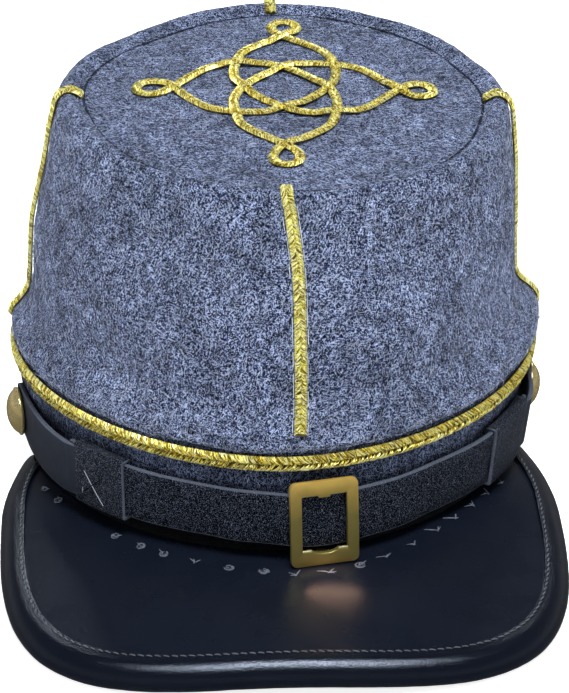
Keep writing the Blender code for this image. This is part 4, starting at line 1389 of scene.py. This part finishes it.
def ribbon_body(table, angles, width_of, thick_of):
    """Points, faces and looks of a strap along its table: look 0 is its face, look 1 its cut edges."""
    rings = []
    for degrees in angles:
        middle, _, up, out = strap_axes(table, degrees)
        section = strap_section(width_of(degrees), thick_of(degrees))
        rings.append([middle + up * u + out * w for u, w in section])
    points, faces = skin(rings)
    size = len(rings[0])
    looks = [1 if i % size in CUT_FACES else 0 for i in range(len(faces) - 2)] + [1, 1]
    return points, faces, looks


def spread(first, last, count):
    """Even angles from first to last."""
    return [first + (last - first) * i / count for i in range(count + 1)]


def make_strap_middle():
    angles = spread(MIDDLE_STRAP[0].angle, MIDDLE_STRAP[-1].angle, 220)
    points, faces, looks = ribbon_body(MIDDLE_STRAP, angles, lambda a: STRAP_WIDTH, lambda a: STRAP_THICK)
    piece("chin_strap", points, faces, [STRAP_LEATHER, CUT_LEATHER], ["strap_middle"],
          looks=looks, lumps=((0.10, 8.0),), sharp=60.0)


def oblong(half_width, half_depth, corner):
    """Oblong with round corners, each corner in four points."""
    shape = []
    for side_u, side_w, start in ((1, 1, 0), (-1, 1, 90), (-1, -1, 180), (1, -1, 270)):
        for degrees in range(start, start + 91, 30):
            turn = math.radians(degrees)
            shape.append((side_u * (half_width - corner) + corner * math.cos(turn),
                          side_w * (half_depth - corner) + corner * math.sin(turn)))
    return shape


def loop_body(loop):
    """Sleeve round the middle strap, with round corners and cut ends that bow a little."""
    first, last = loop
    half_width = STRAP_WIDTH / 2 + GAP
    half_depth = STRAP_THICK / 2 + GAP
    outer = oblong(half_width + LOOP_WALL, half_depth + LOOP_WALL, LOOP_CORNER)
    inner = oblong(half_width, half_depth, 0.2)
    eased = oblong(half_width + LOOP_WALL - 0.25, half_depth + LOOP_WALL - 0.25, LOOP_CORNER - 0.2)
    towards = math.copysign(1.0, last - first)
    eased_span = 0.15 * towards
    stations = [(first, eased)] + [(a, outer) for a in spread(first + eased_span, last - eased_span, 16)]
    cut_spans = {0, len(stations) - 1, len(stations)}
    stations += [(last, eased), (last, inner)] + [(a, inner) for a in spread(last, first, 8)[1:]]
    rings = []
    for degrees, section in stations:
        middle, along, up, out = strap_axes(MIDDLE_STRAP, degrees)
        middle += out * (STRAP_THICK / 2)
        bow = SLEEVE_BOW * (degrees - first) / (last - first) * towards
        ring = []
        for u, w in section:
            ring.append(middle + up * u + out * w + along * (bow * (u / half_width) ** 2))
        rings.append(ring)
    cut_spans.add(len(rings) - 1)
    points, faces = skin(rings, loop=True)
    looks = [1 if i // len(outer) in cut_spans else 0 for i in range(len(faces))]
    return points, faces, looks


def make_end_strap(name, loop, button):
    """Short strap: its sleeve of grained leather and its smooth end up to the button."""
    at_loop = strap_place(MIDDLE_STRAP, loop[0])
    seat = at_loop.offset + STRAP_THICK + GAP + 0.1
    towards = math.copysign(1.0, button.angle - loop[0])
    table = (
        StrapPoint(loop[0] - towards * 3.0, at_loop.height, seat, at_loop.tilt),
        StrapPoint(loop[0] + towards * 1.0, at_loop.height, seat, at_loop.tilt),
        button,
        StrapPoint(button.angle + towards * 7.0, button.height, button.offset, button.tilt),
    )
    last = button.angle + towards * END_PAST_BUTTON

    def width_of(degrees):
        past_button = max((degrees - button.angle) * towards / END_PAST_BUTTON, 0.0)
        return (STRAP_WIDTH - 0.4) * math.sqrt(1.0 - 0.7 * past_button ** 2)

    def thick_of(degrees):
        outside = smoothstep((degrees - loop[0]) * towards / 3.0)
        return LOOP_WALL - 0.2 + (END_THICK - LOOP_WALL + 0.2) * outside

    angles = spread(table[0].angle, last, 90)
    tail_points, tail_faces, tail_looks = ribbon_body(table, angles, width_of, thick_of)
    loop_points, loop_faces, loop_looks = loop_body(loop)
    points, faces, _ = join((loop_points, loop_faces, 0), (tail_points, tail_faces, 0))
    looks = [2 if look else 0 for look in loop_looks] + [2 if look else 1 for look in tail_looks]
    piece(name + "_leather", points, faces, [SLEEVE_LEATHER, SMOOTH_LEATHER, CUT_LEATHER],
          [name], looks=looks, lumps=((0.08, 7.0),), sharp=60.0)


# Brass

# Domed button: radius and height above its back, from the middle of the dome to the back
BUTTON_PROFILE = (
    (0.05, 4.5), (0.9, 4.47), (1.8, 4.38), (2.7, 4.21), (3.6, 3.95), (4.5, 3.58), (5.3, 3.14), (6.0, 2.62),
    (6.5, 2.10), (6.8, 1.66), (6.95, 1.42), (7.1, 1.36), (7.35, 1.38), (7.52, 1.28), (BUTTON_RADIUS, 1.05),
    (BUTTON_RADIUS, 0.6), (7.45, 0.4), (6.9, 0.05), (5.0, 0.0),
)


def make_button(name, button):
    along, up, out = band_frame(button.angle, button.height)
    centre = band_point(button.angle, button.height, button.offset + END_THICK)
    shank = ((SHANK_RADIUS, 0.0), (SHANK_RADIUS, -button.offset - END_THICK))
    rings = []
    for radius, height in BUTTON_PROFILE + shank:
        ring = []
        for i in range(64):
            turn = 2 * math.pi * i / 64
            aim = up * math.cos(turn) + along * math.sin(turn)
            ring.append(centre + out * (GAP + height) + aim * radius)
        rings.append(ring)
    loft(name + "_brass", rings, BUTTON_BRASS, [name], sharp=50.0)


def radial(outline, count):
    """A closed outline round the origin as points at even angles."""
    found = []
    for i in range(count):
        turn = 2 * math.pi * (i + 0.5) / count
        aim = Vector((math.cos(turn), math.sin(turn)))
        reach = 0.0
        for a, b in zip(outline, outline[1:] + outline[:1]):
            a, b = Vector(a), Vector(b)
            edge = b - a
            slope = aim.x * edge.y - aim.y * edge.x
            if abs(slope) < 1e-9:
                continue
            distance = (a.x * edge.y - a.y * edge.x) / slope
            along = (a.x * aim.y - a.y * aim.x) / slope
            if distance > 0 and -1e-6 <= along <= 1 + 1e-6:
                reach = max(reach, distance)
        found.append(aim * reach)
    return found


def rounded(half_width, half_height, corner):
    """Outline of a rectangle with round corners."""
    points = []
    for sign_x, sign_y, start in ((1, 1, 0), (-1, 1, 90), (-1, -1, 180), (1, -1, 270)):
        centre_x = sign_x * (half_width - corner)
        centre_y = sign_y * (half_height - corner)
        for degrees in range(start, start + 91, 10):
            turn = math.radians(degrees)
            points.append((centre_x + corner * math.cos(turn), centre_y + corner * math.sin(turn)))
    return points


def make_buckle():
    """Stamped frame with eased edges and a bar behind.

    The window has a tab at its top, and at its foot a hollow between two slips that are painted highlights.
    """
    middle, along, up, out = strap_axes(MIDDLE_STRAP, BUCKLE_ANGLE)
    turn = Matrix.Rotation(BUCKLE_TURN, 3, out)
    right = turn @ along
    rise = turn @ up
    origin = middle + up * BUCKLE_LIFT
    back = STRAP_THICK + GAP
    half_width, half_height = BUCKLE_WIDTH / 2, BUCKLE_HEIGHT / 2
    side = half_width - BUCKLE_SIDE_BAR
    top = half_height - BUCKLE_TOP_BAR
    bottom = BUCKLE_BOTTOM_BAR - half_height
    face = back + BUCKLE_THICK
    ease = BUCKLE_EASE

    outer = radial(rounded(half_width, half_height, BUCKLE_CORNER), 360)
    window = [(side, bottom), (side, top), (1.8, top), (1.6, top - 0.7), (-1.6, top - 0.7), (-1.8, top),
              (-side, top), (-side, bottom), (-3.9, bottom)]
    for k in range(1, 13):
        window.append((-3.9 + 0.6 * k, bottom - 1.05 * math.sqrt(math.sin(math.pi * k / 13))))
    window = radial(window + [(3.9, bottom)], 360)
    layers = []
    for line, towards, level in (
        (window, 0.0, back), (window, 0.0, face - ease * 0.7), (window, ease * 0.3, face - ease * 0.2),
        (window, ease, face), (outer, -ease, face), (outer, -ease * 0.3, face - ease * 0.3),
        (outer, 0.0, face - ease), (outer, 0.0, back),
    ):
        ring = []
        for p in line:
            place = p + p.normalized() * towards
            bowed = level - BUCKLE_BOW * (place.y / half_height) ** 2
            ring.append(origin + right * place.x + rise * place.y + out * bowed)
        layers.append(ring)
    bodies = [(*skin(layers, loop=True), 0)]

    def block(low_x, high_x, low_y, high_y, near, far, look=0):
        corners = ((low_x, low_y), (high_x, low_y), (high_x, high_y), (low_x, high_y))
        rings = [[origin + right * x + rise * y + out * level for x, y in corners] for level in (near, far)]
        bodies.append((*skin(rings), look))

    bar = BUCKLE_BAR_WIDTH / 2
    bar_back = -GAP - BUCKLE_BAR_THICK
    strap_edge = STRAP_WIDTH / 2 + GAP
    block(-bar, bar, strap_edge, top + 1.0, bar_back, back - 0.2)
    block(-bar, bar, bottom - 3.0, bottom - 1.5, bar_back, back - 0.2)
    block(-bar, bar, 1.0 - strap_edge, top + 0.6, bar_back, -GAP)
    # Two thin slips at the window's foot are painted highlights on its bevel
    for near, far in ((-side, -4.1), (4.1, side)):
        block(near, far, bottom - 0.05, bottom + 0.22, face - 0.75, face - 0.55, 1)
    points, faces, looks = join(*bodies)
    piece("buckle_brass", points, faces, [BRASS, HIGHLIGHT_SLIP_BRASS], ["buckle"],
          looks=looks, sharp=30.0)


# Stage

FLOOR_HALF = 6
FLOOR_GLOW = 0.85


def make_floor():
    mesh = bpy.data.meshes.new("floor")
    corners = [(x * FLOOR_HALF, y * FLOOR_HALF, 0) for x, y in ((-1, -1), (1, -1), (1, 1), (-1, 1))]
    mesh.from_pydata(corners, [], [(0, 1, 2, 3)])
    n = Nodes("floor_paper", 0.9, specular=0.1)
    n.shader.inputs["Emission Color"].default_value = (1.0, 1.0, 1.0, 1.0)
    n.shader.inputs["Emission Strength"].default_value = FLOOR_GLOW
    mesh.materials.append(n.finish(n.ramp(n.noise(3.0, 1.0), (0.3, 0.90), (0.7, 0.92))))
    floor = bpy.data.objects.new("floor", mesh)
    bpy.context.scene.collection.objects.link(floor)
    floor.visible_glossy = False


# Place and aim in metres. Reflected is whether glossy surfaces show the lamp
Lamp = namedtuple("Lamp", "name place aim size power reflected")
LAMPS = (
    Lamp("key_softbox", (0.10, -0.56, 2.18), (0.0, 0.0, 0.05), 0.9, 56.0, True),
    Lamp("left_softbox", (-1.75, -0.55, 0.85), (0.0, 0.0, 0.06), 0.8, 7.4, False),
    Lamp("right_softbox", (1.75, -0.55, 0.85), (0.0, 0.0, 0.06), 0.8, 6.0, False),
    Lamp("back_softbox", (0.0, 1.9, 1.3), (0.0, 0.0, 0.06), 0.9, 17.0, True),
)
LAMP_COLOUR = (0.93, 0.965, 1.0)
# Brightness of the room by height: from straight down at 0 to straight up at 1
ROOM = ((0.44, 0.10), (0.49, 0.29), (0.56, 0.29), (0.70, 0.11))
# Small warm lamp for the patch that the buckle throws on the visor, in the cap's frame
GLINT_PLACE = (13.0, -104.3, 4.1)
GLINT_AIM = (13.0, -109.2, -7.0)
GLINT_SIZE = (18.0, 4.5)
GLINT_COLOUR = (1.0, 0.56, 0.34)
GLINT_POWER = 0.0021


def area_light(name, shape, size, power, colour, place, aim):
    """Lamp at a place, in metres, that points at an aim."""
    data = bpy.data.lights.new(name, "AREA")
    data.shape = shape
    data.size, data.size_y = size
    data.energy = power
    data.color = colour
    item = bpy.data.objects.new(name, data)
    item.location = place
    item.rotation_euler = (aim - place).to_track_quat("-Z", "Y").to_euler()
    bpy.context.scene.collection.objects.link(item)
    return item


def make_lights():
    """Softboxes round the cap, the buckle's warm patch, and a dim room that is brighter at the horizon."""
    for lamp in LAMPS:
        item = area_light(lamp.name, "DISK", (lamp.size, lamp.size), lamp.power, LAMP_COLOUR,
                          Vector(lamp.place), Vector(lamp.aim))
        item.visible_glossy = lamp.reflected
    place, aim = (CAP @ (Vector(spot) * MM) for spot in (GLINT_PLACE, GLINT_AIM))
    size = (GLINT_SIZE[0] * MM, GLINT_SIZE[1] * MM)
    glint = area_light("buckle_glint", "ELLIPSE", size, GLINT_POWER, GLINT_COLOUR, place, aim)
    glint.visible_camera = False

    world = bpy.data.worlds.new("studio")
    world.use_nodes = True
    tree = world.node_tree
    direction = tree.nodes.new("ShaderNodeTexCoord")
    parts = tree.nodes.new("ShaderNodeSeparateXYZ")
    tree.links.new(direction.outputs["Generated"], parts.inputs["Vector"])
    share = tree.nodes.new("ShaderNodeMath")
    share.operation = "MULTIPLY_ADD"
    share.inputs[1].default_value = 0.5
    share.inputs[2].default_value = 0.5
    tree.links.new(parts.outputs["Z"], share.inputs[0])
    ramp = tree.nodes.new("ShaderNodeValToRGB")
    tree.links.new(share.outputs[0], ramp.inputs["Fac"])
    fill_ramp(ramp.color_ramp, ROOM)
    tree.links.new(ramp.outputs["Color"], tree.nodes["Background"].inputs["Color"])
    bpy.context.scene.world = world


# Camera, in the cap's frame: it looks at a point over the band from in front and above
CAMERA_ELEVATION = math.radians(23.5)
CAMERA_AZIMUTH = math.radians(2.5)
CAMERA_ROLL = math.radians(0.3)
CAMERA_DISTANCE = 1.100
CAMERA_AIM = (0.0, 0.0, 0.030)
IMAGE_HEIGHT = 693.0
FOCAL_PIXELS = 3505.0
SHIFT_PIXELS = (9.0, -16.0)
SENSOR = 36.0


def make_camera():
    data = bpy.data.cameras.new("camera")
    camera = bpy.data.objects.new("camera", data)
    bpy.context.scene.collection.objects.link(camera)
    e, a = CAMERA_ELEVATION, CAMERA_AZIMUTH
    away = Vector((-math.cos(e) * math.sin(a), -math.cos(e) * math.cos(a), math.sin(e))) * CAMERA_DISTANCE
    forward = -away.normalized()
    right = Vector((math.cos(a), -math.sin(a), 0.0))
    axes = Matrix((right, right.cross(forward), -forward)).transposed().to_4x4()
    place = Matrix.Translation(Vector(CAMERA_AIM) + away)
    camera.matrix_world = CAP @ place @ axes @ Matrix.Rotation(-CAMERA_ROLL, 4, "Z")
    data.sensor_fit = "VERTICAL"
    data.sensor_height = SENSOR
    data.sensor_width = SENSOR
    data.lens = FOCAL_PIXELS * SENSOR / IMAGE_HEIGHT
    data.shift_x = SHIFT_PIXELS[0] / IMAGE_HEIGHT
    data.shift_y = SHIFT_PIXELS[1] / IMAGE_HEIGHT
    bpy.context.scene.camera = camera


def main():
    draw = random.Random(18)
    make_camera()
    make_band()
    make_crown_wall()
    make_crown_top()
    make_crease_shade()
    make_band_braid(draw)
    for braid in QUARTER_BRAIDS:
        make_quarter_braid(braid, draw)
    make_knot(draw)
    make_braid_seams(draw)
    make_visor()
    make_visor_binding()
    make_visor_stitches()
    make_visor_holes(draw)
    make_sleeve_cross()
    make_strap_middle()
    make_end_strap("strap_left", LEFT_LOOP, LEFT_BUTTON)
    make_end_strap("strap_right", RIGHT_LOOP, RIGHT_BUTTON)
    make_buckle()
    make_button("button_left", LEFT_BUTTON)
    make_button("button_right", RIGHT_BUTTON)
    for fibres in FIBRES:
        make_fibres(fibres, draw)
    make_floor()
    make_lights()
    bpy.context.scene.view_settings.view_transform = "Standard"


main()
